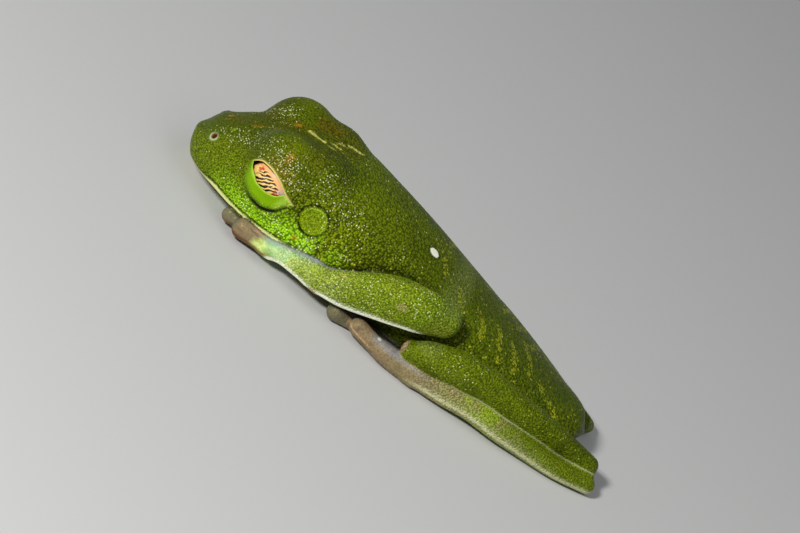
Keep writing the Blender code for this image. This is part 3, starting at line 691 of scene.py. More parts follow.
class Skin:
    """The skin's points with all that is sculpted and painted on them."""

    def __init__(self, points, normals, away_body, away):
        self.points = points
        self.normals = normals
        self.x, self.s, self.z = points.T
        self.away_body = away_body
        self.away = away
        count = len(points)
        self.rise = np.zeros(count)
        self.colour = np.zeros((count, 3))
        self.grain = np.ones(count)
        self.fine = np.zeros(count)
        self.fleck = np.zeros(count)
        # Painted glints: a few on all skin that faces up, more around the places in GLINTS
        self.glint = 0.015 * fade(normals[:, 2], -0.2, 0.4)
        for middle, reach, share in GLINTS:
            for side in (1, -1):
                self.glint = np.maximum(self.glint, share * bell(self.distance(middle, side), reach))

    def distance(self, middle, side):
        """Distance to a place given on the left, on one side."""
        return np.linalg.norm(self.points - np.array(middle) * (side, 1, 1), axis=1)

    def smooth(self, amount):
        """Lessens the granules where amount is near 1."""
        self.grain = np.minimum(self.grain, 1 - np.clip(amount, 0, 1))

    def ink(self, colour, amount):
        """Lays a colour over what is painted."""
        paint(self.colour, colour, amount)

    def near_line(self, path):
        """Distance to a line of places, and how far along it."""
        return line_distance(self.points, path)

    def groups(self):
        """Paints every form in its own colours, blended in a hair's breadth where two forms meet."""
        keys = ["body"] + list(self.away)
        stack = np.stack([self.away_body] + [self.away[key] for key in keys[1:]])
        nearest = stack.min(0)
        spread = 0.05 + 0.45 * fade(self.s, 29.5, 33.0) * fade(self.s, 36.0, 34.0) * (self.z > 4.5)
        weights = np.exp(-np.minimum((stack - nearest) / spread, 30))
        weights /= weights.sum(0)
        self.weights = dict(zip(keys, weights))
        families = [self.away_body]
        for side in (1, -1):
            families.append(np.minimum(self.away[side, "arm"], self.away[side, "hand"]))
            families.append(self.away[side, "thigh"])
            families.append(np.minimum(self.away[side, "shank"], self.away[side, "foot"]))
        two = np.partition(np.stack(families), 1, axis=0)[:2]
        self.contact = fade(two[1] - two[0], 0.42, 0.05)
        for key, weight in self.weights.items():
            used = weight > 0.004
            colour, grain, fine, fleck = self.form_paint(key, used)
            self.colour[used] += colour * weight[used, None]
            self.grain[used] += (grain - 1) * weight[used]
            self.fine[used] += fine * weight[used]
            self.fleck[used] += fleck * weight[used]

    def form_paint(self, key, used):
        """Colour, granule height, fineness and yellow flecks of one form at the chosen points."""
        points, normals = self.points[used], self.normals[used]
        if key == "body":
            return self.trunk_paint(points, normals)
        side, group = key
        x, s, z = points.T
        upright = normals[:, 2]
        blotches = noise(points, 1.5, 21)
        colour = np.repeat(LIMB_COLOURS[group][None], len(x), 0)
        if group == "arm":
            paint(colour, WRIST_PALE, 0.8 * fade(s, 24.0, 20.5))
            paint(colour, ELBOW_GREEN, fade(s, 27.0, 32.0))
            paint(colour, BELLY_CREAM, fade(x * side, 7.5, 6.2) * fade(z, 5.0, 3.0))
            return colour, 0.8, 0.75, 0.10
        if group == "hand":
            streaks = noise(points * (2.2, 0.8, 2.2), 1.0, 23)
            paint(colour, WRIST_PALE, 0.9 * fade(s, 15.0, 18.0))
            paint(colour, FOOT_GREEN, 0.6 * fade(streaks, 0.45, 0.75))
            paint(colour, TEAL, 0.45 * bell(s - 13.6, 1.1) * fade(upright, 0.25, 0.8))
            paint(colour, DIGIT_BROWN, fade(s + 2.4 * (blotches - 0.5), 13.4, 11.6))
            paint(colour, DIGIT_BROWN * 0.55, 0.6 * fade(streaks, 0.5, 0.75) * fade(s, 12.6, 11.6))
            paint(colour, PINK, 0.7 * fade(upright, 0.7, 0.95) * bell(s - 11.8, 0.9))
            paint(colour, DIGIT_GREY, fade(s, 9.7, 9.3))
            paint(colour, CREAM, 0.5 * fade(s, 9.3, 8.6) * fade(z, 1.2, 0.7))
            paint(colour, BROWN * 0.7, 0.85 * fade(upright, -0.05, -0.5) * fade(s, 15.0, 13.5))
            return colour, 0.15 + 0.4 * fade(s, 13.0, 18.0), 1.0, 0.02
        if group == "thigh":
            paint(colour, THIGH_ORANGE, 0.8 * fade(upright, 0.2, -0.3))
            return colour, 0.8, 0.3, 0.06
        if group == "shank":
            paint(colour, DARK_OLIVE, 0.35 * fade(s, 44, 54) + 0.4 * fade(blotches, 0.6, 0.85))
            return colour, 0.75, 0.8, 0.05
        paint(colour, SHANK_GREEN, 0.9 * fade(s, 40, 50))
        paint(colour, FOOT_MAUVE, fade(s + 4.0 * (blotches - 0.5), 43.5, 36.0))
        paint(colour, FOOT_MAUVE, 0.6 * fade(noise(points, 0.9, 25), 0.45, 0.75) * fade(s, 50.0, 44.0))
        paint(colour, DIGIT_BROWN, fade(s, 33.0, 30.0))
        small_toe = (x * side <= 9.4) | (s < 25.2)
        paint(colour, DIGIT_GREY * 0.85, fade(s, 33.0, 30.0) * small_toe)
        paint(colour, DIGIT_BROWN * 0.5, 0.6 * fade(noise(points, 0.5, 24), 0.5, 0.8) * fade(s, 36.0, 30.0))
        paint(colour, LILAC, 0.45 * fade(upright, 0.35, 0.85) * fade(s, 27.5, 29.0) * fade(s, 38.0, 35.0))
        return colour, 0.6 - 0.35 * fade(s, 37, 33), 1.0, 0.03

    def trunk_paint(self, points, normals):
        """Olive back, greener flanks and cheeks, cream belly, yellow flecks in broken bars, partly painted
        shade on the crown, and painted shade low on the flank above the arm.
        """
        x, s, z = points.T
        height = (z - profile(WIDEST, s)) / (profile(BACK, s) - profile(WIDEST, s) + 0.01)
        colour = np.repeat(OLIVE[None], len(x), 0)
        lumps = noise(points, 2.6, 3)
        head = fade(s, 18.5, 14.0)
        paint(colour, FLANK_GREEN, fade(height, 0.8, 0.4) * fade(s, 38, 26))
        paint(colour, DARK_OLIVE, 0.40 * fade(s, 30, 46))
        # Darker on top of the head: partly the crown's own darker olive, partly painted shade
        paint(colour, DARK_OLIVE, 0.55 * head * fade(height, 0.62, 0.95))
        paint(colour, DARK_OLIVE, 0.35 * fade(lumps, 0.5, 0.8))
        paint(colour, BROWN, 0.12 * head * fade(height, 0.55, 0.80) * fade(noise(points, 3.0, 9), 0.3, 0.7))
        paint(colour, SNOUT_GREEN, head * fade(height, 0.85, 0.5) * 0.7)
        cheek = fade(s, 18.4, 16.8) * fade(height, 0.52, 0.12) * fade(s, 2.5, 10.0)
        paint(colour, CHEEK_GREEN, cheek)
        folded = np.stack([np.abs(x), s, z], 1)
        shoulder = np.linalg.norm((folded - SHOULDER_LIGHT) * (0.5, 1, 1), axis=1)
        # Painted shade: the flank low down above the arm darker, where it curves under
        paint(colour, DARK_OLIVE, 0.55 * fade(height, 0.45, 0.1) * fade(s, 20.0, 23.0))
        paint(colour, CHEEK_GREEN, 0.45 * bell(shoulder, 1.3) * fade(s, 18.2, 18.8))
        under = fade(z, 1.4, 0.5) * fade(normals[:, 2], -0.1, -0.6)
        paint(colour, BELLY_CREAM, under)
        calm = 0.30 * fade(height, 0.6, 0.9) + 0.15 * fade(s, 6.0, 3.0)
        grain = (1 - 0.8 * under) * (1 - calm)
        fine = 0.75 * fade(s, 13.0, 8.5) + 0.35 * fade(s, 26.0, 32.0)
        fleck = 0.01 + 0.10 * fade(noise(points, 1.2, 12), 0.5, 0.75) * fade(s, 17, 26)
        wander = 0.45 * (noise(points, 0.8, 31) - 0.35)
        for bar in BARS:
            path = body_point(*np.array(bar, float).T)
            for side in (1, -1):
                near, _ = line_distance(points * (side, 1, 1), path)
                fleck = np.maximum(fleck, 0.85 * fade(near, 0.55 + wander, 0.15))
        return colour, grain, np.clip(fine, 0, 1), fleck

    def creases(self):
        """Painted shade in the creases where forms meet, and the coloured edges of arm, shank and foot."""
        root = fade(self.s, 29.5, 33.0) * fade(self.s, 37.0, 35.0) * (self.z > 4.5)
        sharp = self.contact * (1 - root) * fade(self.z, 0.2, 0.8)
        self.ink(SHADE, 0.75 * sharp)
        self.rise -= 0.10 * sharp
        for side in (1, -1):
            self.arm_edges(side)
            self.flank_edges(side)
            self.fringes(side)
            self.leg_edges(side)

    def arm_edges(self, side):
        """The lilac rim and the teal line of hand and arm beside the head."""
        s = self.s
        hand = self.weights[side, "hand"] + self.weights[side, "arm"]
        rim = hand * bell(self.away_body - 0.42, 0.42) * fade(s, 12.0, 13.5) * fade(s, 25.0, 22.5)
        self.ink(LILAC, 0.80 * rim)
        teal = hand * bell(self.away_body - 1.0, 0.25) * fade(s, 12.8, 14.0) * fade(s, 19.0, 16.0)
        self.ink(TEAL, 0.4 * teal)
        self.smooth(0.8 * rim)

    def flank_edges(self, side):
        """Painted shade on the flank beside the arm and in the gap at the elbow, and the bright edge beside
        the shank.
        """
        s, trunk = self.s, self.weights["body"]
        to_arm, to_shank = self.away[side, "arm"], self.away[side, "shank"]
        # Painted shade: the flank darker beside the arm
        beside = trunk * fade(to_arm, 1.7, 0.2) * fade(s, 34, 30)
        self.ink(DARK_OLIVE * 0.5, 0.75 * beside * fade(s, 20.0, 22.5))
        # Painted shade in the gap between elbow and shank
        elbow_gap_shade = fade(to_arm, 1.6, 0.5) * fade(to_shank, 2.6, 0.8)
        self.ink(SHADE, 0.9 * trunk * elbow_gap_shade * fade(s, 30.0, 32.0))
        edge = trunk * bell(to_shank - 0.34, 0.20) * fade(s, 37, 40) * fade(self.z, 2.5, 4.0)
        self.ink(YELLOW * 0.5 + ORANGE * 0.5, 1.2 * edge * fade(noise(self.points, 1.1, 8), 0.2, 0.45))
        self.smooth(edge)

    def fringes(self, side):
        """The cream fringe along forearm and wrist, with orange beneath it."""
        s = self.s
        hand = self.weights[side, "hand"] + self.weights[side, "arm"]
        wide = 0.30 + 0.12 * fade(s, 19.0, 23.0) * fade(s, 29.0, 26.0)
        for rows, turn, start in ((FOREARM, 145, 18.0), (PALM, -145, 14.5)):
            away, _ = self.near_line(limb_line(arm_rows(side, rows), turn * side))
            flap = hand * bell(away, wide) * fade(s, start - 1, start) * fade(s, 33.0, 30.5)
            under = hand * bell(away - 0.60, 0.28) * (self.normals[:, 2] < -0.65) * fade(s, 16, 19)
            self.rise += 0.22 * flap
            self.ink(CREAM, 1.5 * flap)
            self.ink(ORANGE * 0.8, 0.85 * under * fade(s, 31, 27))
            self.smooth(flap)

    def leg_edges(self, side):
        """The pale lines of shank, foot and big toe, and the pale knuckle and knee."""
        s = self.s
        shank, foot = self.weights[side, "shank"], self.weights[side, "foot"]
        line = bell(self.away[side, "shank"] - self.away[side, "foot"] + 0.1, 0.16)
        line = line * (shank + foot) * fade(s, 36.5, 39.5)
        self.rise += 0.12 * line
        self.ink(SHANK_LINE, 0.75 * line)
        self.smooth(line)
        away, _ = self.near_line(limb_line(leg_rows(side, SOLE), -105 * side))
        edge = foot * bell(away, 0.30) * fade(s, 33.0, 36.0)
        haze = foot * bell(away, 0.85) * fade(s, 34.0, 38.0) * fade(s, 55.0, 48.0)
        self.rise += 0.08 * edge
        self.ink(FOOT_HAZE, 0.5 * haze)
        self.ink(FOOT_EDGE, 0.8 * edge)
        self.smooth(0.7 * edge)
        away, _ = self.near_line(limb_line(leg_rows(side, TOES[0]), -100 * side))
        self.ink(TOE_EDGE, 0.6 * foot * bell(away, 0.13) * fade(s, 30.0, 27.5))
        self.ink(CREAM, 0.6 * foot * fade(self.distance(KNUCKLE, side), 0.35, 0.15))
        nub = np.linalg.norm(self.points - np.array(leg_rows(side, SHANK)[0][:3]) - (0, -1.1, 0), axis=1)
        self.ink(PINK, 0.6 * shank * fade(nub, 1.1, 0.6))

    def lips(self):
        """A cream edge to the upper lip, a groove over it with painted shade, the mouth beneath, a cream
        chin, and painted shade on the chin under the hand.
        """
        path = lip_path()
        away, _ = self.near_line(path)
        left = path[LIP_STEPS - 1:]
        level = self.z - np.interp(self.s, left[:, 1], left[:, 2])
        zone = (away < 1.6) * (self.weights["body"] > 0.5) * fade(self.s, LIP_CORNER, LIP_CORNER - 1.5)
        covered = np.minimum(self.away[1, "hand"], self.away[-1, "hand"])
        zone = zone * (1 - fade(self.s, 13.5, 15.0) * fade(covered, 1.1, 0.6))
        width = 0.17 + 0.09 * fade(self.s, 7.0, 3.0)
        band = zone * fade(np.abs(level - 0.02), width + 0.05, width - 0.05)
        line = zone * bell(level - width - 0.16, 0.085)
        mouth = zone * bell(level + width + 0.14, 0.10)
        self.rise += 0.06 * band - 0.14 * line - 0.24 * mouth
        self.ink(LIP_CREAM, band)
        # Painted shade in the groove over the lip
        self.ink(SHADE, 0.9 * line)
        self.ink(BROWN, 0.8 * mouth)
        chin = zone * fade(level, -0.25, -0.6)
        self.ink(BELLY_CREAM, chin)
        # Painted shade on the chin under the hand
        for side in (1, -1):
            self.ink(SHADE, 0.8 * chin * fade(self.away[side, "hand"], 1.2, 0.3))
        self.smooth(np.maximum(band, chin))

    def eye(self, side):
        """Lids with a thin margin, the pillow of the lower lid, painted darker towards its lower edge, and
        the crease beneath it with painted shade.
        """
        t, v, w = slit_places(self.points.T, side)
        near = (np.abs(t - 3.1) < 5) & (np.abs(v) < 5) & (w > 0.3) & (self.x * side > 0)
        upper, lower = margin_heights(t)
        offset, along = crease_offset(t, v)
        soft = 0.10 + 0.30 * fade(along, 0.45, 0.1)
        lid = near * fade(offset, soft, -soft) * fade(v - (upper + lower) / 2, 0.1, -0.1)
        lid = lid * fade(t, 6.6, 6.2) * fade(t, -0.5, 0.0)
        groove = near * bell(offset - 0.05, 0.16 + 0.12 * along)
        groove = groove * fade(along, 0.2, 0.45) * fade(along, 1.0, 0.88)
        self.rise -= (0.16 + 0.26 * along) * groove
        self.rise += 0.24 * near * bell(offset + 0.55, 0.42) * fade(along, 0.02, 0.25) * fade(along, 1.0, 0.8)
        # Painted shade beneath the lower lid
        beneath = near * fade(offset, 0.40, 0.18) * fade(offset, -0.10, 0.0)
        beneath = beneath * fade(along, 0.20, 0.50) * fade(along, 0.90, 0.74)
        self.ink(LID_GREEN, lid)
        # Painted shade: the lower lid darker towards the crease
        self.ink(LID_GREEN * 0.45, lid * fade(offset, -0.9, -0.05) * fade(along, 0.15, 0.5) * 0.85)
        self.ink(LID_PALE, lid * (0.65 * fade(v - lower, -0.30, -0.03) + 0.7 * fade(t, 4.6, 5.6)))
        self.ink(SHADE * 0.4, beneath)
        self.smooth(beneath)
        self.smooth(lid * (0.97 - 0.5 * fade(offset, -1.0, -0.3) * fade(along, 0.2, 0.4)))
        self.fine = np.maximum(self.fine, lid)
        inside = near * (self.distance(EYE_CENTRE, side) < LID_RADIUS - 0.13) * (t > 0) * (t < 6.0)
        rim = near * bell(v - upper - 0.05, 0.085) * fade(t, -0.15, 0.1) * fade(t, 6.6, 6.2) * (1 - inside)
        self.ink(GOLD, rim)
        self.smooth(near * fade(np.abs(v - upper - 0.05), 0.3, 0.1) * (t > -0.2) * (t < 6.5))
        self.rise += 0.07 * rim
        self.ink(SOCKET_BROWN, 0.9 * inside * (v < upper + 0.02) * (v > lower - 0.1))
        self.ink(BROW_OLIVE, 0.65 * bell(self.distance(BROW_LIGHT, side), 2.2))
        patch = near * bell(v - 1.5, 0.9) * bell(t - 3.0, 2.2)
        self.ink(ORANGE, 0.16 * patch)

    def ear(self, side):
        """A slightly hollow disc with a raised rim, a gap around it with painted shade, and a fold of skin
        above and behind it.
        """
        middle = body_point(EAR_PLACE, side * EAR_TURN)
        offset = self.points - middle
        away = np.linalg.norm(offset, axis=1)
        low = np.clip(0.5 + 0.5 * (offset @ unit((0.3 * side, -0.5, -0.9))) / EAR_RADIUS, 0, 1)
        gap = bell(away - EAR_RADIUS - 0.10, 0.15)
        over = gap * fade(low, 0.45, 0.0)
        fold = 0.25 * bell(away - EAR_RADIUS - 0.45, 0.28) * fade(low, 0.5, 0.1)
        self.rise += fold - 0.30 * gap * (0.25 + 0.75 * low)
        rim = 0.07 * bell(away - EAR_RADIUS + 0.22, 0.18)
        self.rise += rim - 0.14 * bell(away, 0.9) + 0.05 * bell(away, 0.3)
        disc = fade(away, EAR_RADIUS + 0.06, EAR_RADIUS - 0.10)
        self.ink(EAR_GREEN, disc)
        self.ink(DARK_OLIVE, 0.30 * disc * bell(away - 0.55, 0.16))
        # Painted shade in the gap, darkest on the lower side and under the fold
        self.ink(SHADE, gap * (0.3 + 0.7 * low) + 0.4 * over)
        self.ink(LID_PALE, 0.25 * bell(away - EAR_RADIUS + 0.20, 0.12) * fade(low, 0.75, 0.4))
        self.smooth(0.4 * disc)
        self.fine = np.maximum(self.fine, disc)

    def nostril(self, side):
        """A pit in a pale raised ring."""
        offset = self.points - body_point(NOSTRIL_PLACE, side * NOSTRIL_TURN)
        away = np.linalg.norm(offset, axis=1)
        low = np.clip(0.5 + (offset @ unit((0.42 * side, -0.13, -0.89))), 0, 1)
        self.rise += 0.22 * bell(away, 1.0) + 0.08 * bell(away - 0.43, 0.16)
        self.rise -= 0.5 * fade(away, NOSTRIL_RADIUS + 0.10, 0.08)
        self.ink(NOSTRIL_RING, (0.15 + 0.70 * low) * bell(away - 0.43, 0.12))
        self.ink(NOSTRIL_RED, fade(away, NOSTRIL_RADIUS + 0.08, NOSTRIL_RADIUS - 0.06))
        self.smooth(fade(away, 0.75, 0.5))

    def folds(self):
        """Loose skin: the folds behind the jaw and behind the eye, with painted shade in them."""
        trunk = self.weights["body"]
        for side in (1, -1):
            for path, width, depth in ((JAW_FOLD, 0.20, 0.18), (EYE_FOLD, 0.22, 0.12)):
                away, along = self.near_line(np.array(path) * (side, 1, 1))
                line = trunk * bell(away, width) * fade(along, 0.0, 0.15) * fade(along, 1.0, 0.85)
                self.rise -= depth * line
                # Painted shade in the fold
                self.ink(SHADE, 0.6 * line)

    def marks(self):
        """Coloured marks, and the one large cream spot on the flank with a ring of painted shade around it.
        """
        for path, width, ink, strength in MARKS:
            away, _ = self.near_line(path)
            ragged = width * (0.35 + 1.2 * noise(self.points, 0.5, 5))
            mark = fade(away, ragged + 0.10, ragged - 0.10)
            self.ink(ink, strength * mark)
            self.smooth(0.6 * strength * mark)
        offset = (self.points - body_point(*FLANK_SPOT)) / (1, 1.25, 1)
        away = np.linalg.norm(offset, axis=1)
        spot = fade(away, 0.58, 0.46)
        # Painted shade in a ring around the raised cream spot
        self.ink(SHADE, 0.6 * bell(away - 0.64, 0.12))
        self.ink(CREAM, spot)
        self.rise += 0.10 * spot
        self.smooth(spot)

    def finished(self):
        """Sculpted places and the painted values of every point."""
        moved = self.points + self.normals * self.rise[:, None]
        moved[:, 2] = np.maximum(moved[:, 2], 0.0)
        self.grain *= fade(self.z, 0.0, 0.25)
        return moved, {"tint": np.clip(self.colour, 0, 1), "rest": self.points, "grain": self.grain,
                       "fine": self.fine, "fleck": self.fleck, "glint": self.glint}


def sculpt_and_paint(points, normals, away_body, away):
    """Folds, rims, pits and colours of the whole skin."""
    skin = Skin(points, normals, away_body, away)
    skin.groups()
    skin.creases()
    skin.folds()
    skin.lips()
    for side in (1, -1):
        skin.eye(side)
        skin.ear(side)
        skin.nostril(side)
    skin.marks()
    return skin.finished()


def linked(name, data):
    """A new object in the scene."""
    item = bpy.data.objects.new(name, data)
    bpy.context.scene.collection.objects.link(item)
    return item


def add_mesh(name, points, faces, values):
    """An object from points in mm and faces, carrying a value or colour for each point."""
    mesh = bpy.data.meshes.new(name)
    count = len(points)
    placed = (points - (0, MIDDLE, 0)) * MM
    mesh.vertices.add(count)
    mesh.vertices.foreach_set("co", placed.astype(np.float32).ravel())
    sides = faces.shape[1]
    mesh.loops.add(faces.size)
    mesh.loops.foreach_set("vertex_index", faces.astype(np.int32).ravel())
    mesh.polygons.add(len(faces))
    mesh.polygons.foreach_set("loop_start", np.arange(0, faces.size, sides, dtype=np.int32))
    mesh.update(calc_edges=True)
    mesh.validate()
    for label, data in values.items():
        kind, key = ("FLOAT", "value") if data.ndim == 1 else ("FLOAT_VECTOR", "vector")
        if label == "tint":
            kind, key = "FLOAT_COLOR", "color"
            data = np.concatenate([data, np.ones((count, 1))], 1)
        painted = mesh.attributes.new(label, kind, "POINT")
        painted.data.foreach_set(key, data.astype(np.float32).ravel())
    mesh.shade_smooth()
    return linked(name, mesh)


class Nodes:
    """A small helper to write a node tree as nested calls."""

    def __init__(self, tree):
        self.tree = tree

    def add(self, kind, settings=None, **inputs):
        """A node with settings and inputs, named or numbered as i0, i1...; each is a value or a socket."""
        node = self.tree.nodes.new(kind)
        for key, value in (settings or {}).items():
            setattr(node, key, value)
        for key, value in inputs.items():
            numbered = key[0] == "i" and key[1:].isdigit()
            socket = node.inputs[int(key[1:]) if numbered else key.replace("_", " ")]
            if isinstance(value, bpy.types.NodeSocket):
                self.tree.links.new(value, socket)
            else:
                socket.default_value = value
        return node

    def math(self, operation, a, b=0.0, clamp=False):
        """A sum on numbers."""
        settings = {"operation": operation, "use_clamp": clamp}
        return self.add("ShaderNodeMath", settings, i0=a, i1=b).outputs[0]

    def times(self, first, *others):
        """Numbers multiplied, one after the other."""
        for other in others:
            first = self.math("MULTIPLY", first, other)
        return first

    def scaled(self, vector, factor):
        """A vector times a number."""
        return self.add("ShaderNodeVectorMath", {"operation": "SCALE"}, i0=vector, Scale=factor).outputs[0]

    def mix(self, amount, a, b):
        """A number between a and b."""
        return self.add("ShaderNodeMix", {"data_type": "FLOAT"}, i0=amount, i2=a, i3=b).outputs[0]

    def blend(self, amount, a, b, how="MIX"):
        """A colour between a and b."""
        settings = {"data_type": "RGBA", "blend_type": how}
        return self.add("ShaderNodeMix", settings, i0=amount, i6=a, i7=b).outputs[2]

    def inked(self, amount, under, ink):
        """A colour under an ink."""
        return self.blend(amount, under, (*ink, 1))

    def grey(self, value):
        """A grey from a number."""
        return self.add("ShaderNodeCombineColor", i0=value, i1=value, i2=value).outputs[0]

    def ramp(self, value, low, high):
        """A number taken from low..high to 0..1, smoothly."""
        settings = {"interpolation_type": "SMOOTHSTEP"}
        return self.add("ShaderNodeMapRange", settings, i0=value, i1=low, i2=high, i3=0.0, i4=1.0).outputs[0]

    def voronoi(self, vector, scale, randomness=1.0):
        """A Voronoi texture node."""
        return self.add("ShaderNodeTexVoronoi", Vector=vector, Scale=scale, Randomness=randomness)

    def speckle(self, vector, scale, detail=2.0):
        """Noise between 0 and 1."""
        return self.add("ShaderNodeTexNoise", Vector=vector, Scale=scale, Detail=detail).outputs[0]


# Granules: cells to the millimetre, how steep their domes are, and heights in mm, in the mesh and in shading
COARSE_CELLS = 3.6
FINE_CELLS = 5.0
DOME = 1.9
GRANULE_RISE = 0.05
GRANULE_BUMP = 0.10

# Shine of the skin
SKIN_ROUGHNESS = 0.34
SKIN_GLOSS = 0.22
SKIN_GLOSS_TINT = (1.0, 0.97, 0.32, 1)

# Membrane of the eye: turn and scale of its dark waves, its divisions and its colours
WAVE_TURN = 38.0
WAVE_SCALE = 0.82
EYE_DIVISIONS = 6
MEMBRANE_GOLD = tone(240, 200, 118)
MEMBRANE_WARM = tone(232, 170, 112)
MEMBRANE_GREY = tone(190, 164, 158)
NET_BLACK = tone(24, 12, 8)
TRACE_RED = tone(196, 40, 24)
# Painted shade at the slit's front corner and under the upper lid
SLIT_SHADE = tone(44, 16, 14)


def granules(nodes, rest, fine):
    """Height of the granules (0 to 1), that of the fine cells alone, and the colours of both cell sizes."""
    heights, colours = [], []
    for scale in (COARSE_CELLS, FINE_CELLS):
        cell = nodes.voronoi(rest, scale=scale, randomness=0.85)
        distance = cell.outputs["Distance"]
        heights.append(nodes.math("SUBTRACT", 1.0, nodes.times(distance, distance, DOME), clamp=True))
        colours.append(cell.outputs["Color"])
    return nodes.mix(fine, *heights), heights[1], colours


def material(name):
    """A material with a bare Principled shader; returns it, its nodes and the shader."""
    made = bpy.data.materials.new(name)
    made.use_nodes = True
    surface = made.node_tree.nodes["Principled BSDF"]
    return made, Nodes(made.node_tree), surface


def attribute(nodes, name, output):
    """A painted value, read in a shader."""
    return nodes.add("ShaderNodeAttribute", {"attribute_name": name}).outputs[output]


def skin_material():
    """Moist granular skin: lighter domes with darker gaps, partly their own tone and partly painted light and
    shade, scattered yellow ones, and small painted glints.
    """
    made, nodes, surface = material("frog_skin")
    rest = attribute(nodes, "rest", "Vector")
    tint = attribute(nodes, "tint", "Color")
    grain = attribute(nodes, "grain", "Fac")
    fine = attribute(nodes, "fine", "Fac")
    fleck = attribute(nodes, "fleck", "Fac")
    height, fine_height, colours = granules(nodes, rest, fine)
    parts = [nodes.add("ShaderNodeSeparateColor", i0=colour).outputs for colour in colours]
    coarse = nodes.math("LESS_THAN", fine, 0.5)
    chance = nodes.mix(coarse, parts[1][0], parts[0][0])
    vary = nodes.mix(coarse, parts[1][1], parts[0][1])
    lift = nodes.ramp(height, 0.05, 0.80)
    # Painted light and shade of the granules in the colour, partly their own tone: gaps darker, domes lighter
    shade = nodes.mix(lift, 0.38, nodes.mix(vary, 1.10, 1.65))
    shade = nodes.times(shade, nodes.mix(nodes.speckle(rest, 0.9), 0.8, 1.2))
    shade = nodes.mix(grain, 1.0, shade)
    colour = nodes.blend(1.0, tint, nodes.grey(shade), "MULTIPLY")
    lit = nodes.times(nodes.math("LESS_THAN", chance, fleck), nodes.times(lift, grain), 0.7)
    colour = nodes.inked(lit, colour, YELLOW)
    # Painted highlights: GLINT laid on the tops of chosen fine cells
    glint = attribute(nodes, "glint", "Fac")
    chosen = nodes.math("LESS_THAN", parts[1][2], glint)
    tip = nodes.times(nodes.ramp(fine_height, 0.66, 0.86), chosen, nodes.mix(parts[1][0], 0.35, 1.0), grain)
    colour = nodes.inked(tip, colour, GLINT)
    nodes.tree.links.new(colour, surface.inputs["Base Color"])
    uneven = nodes.times(nodes.speckle(rest, 9.0, 3.0), 0.10)
    bump_height = nodes.math("ADD", nodes.times(height, grain), uneven)
    bump = nodes.add("ShaderNodeBump", Strength=1.0, Distance=GRANULE_BUMP * MM, Height=bump_height)
    nodes.tree.links.new(bump.outputs[0], surface.inputs["Normal"])
    surface.inputs["Roughness"].default_value = SKIN_ROUGHNESS
    surface.inputs["Specular IOR Level"].default_value = SKIN_GLOSS
    surface.inputs["Specular Tint"].default_value = SKIN_GLOSS_TINT
    return made


def granule_modifier(item):
    """Raises the granules in the mesh itself, from the same cells as the shader's."""
    tree = bpy.data.node_groups.new("granules", "GeometryNodeTree")
    tree.interface.new_socket("Geometry", in_out="INPUT", socket_type="NodeSocketGeometry")
    tree.interface.new_socket("Geometry", in_out="OUTPUT", socket_type="NodeSocketGeometry")
    nodes = Nodes(tree)
    start = tree.nodes.new("NodeGroupInput")
    end = tree.nodes.new("NodeGroupOutput")
    rest, grain, fine = [
        nodes.add("GeometryNodeInputNamedAttribute", {"data_type": kind}, Name=name).outputs[0]
        for name, kind in (("rest", "FLOAT_VECTOR"), ("grain", "FLOAT"), ("fine", "FLOAT"))]
    height, _, _ = granules(nodes, rest, fine)
    lift = nodes.times(nodes.math("SUBTRACT", height, 0.6), nodes.times(grain, GRANULE_RISE * MM))
    normal = tree.nodes.new("GeometryNodeInputNormal").outputs[0]
    moved = nodes.add("GeometryNodeSetPosition", Geometry=start.outputs[0], Offset=nodes.scaled(normal, lift))
    tree.links.new(moved.outputs[0], end.inputs[0])
    modifier = item.modifiers.new("granules", "NODES")
    modifier.node_group = tree
    bpy.context.view_layer.update()
    graph = bpy.context.evaluated_depsgraph_get()
    mesh = bpy.data.meshes.new_from_object(item.evaluated_get(graph))
    item.modifiers.clear()
    item.data = mesh


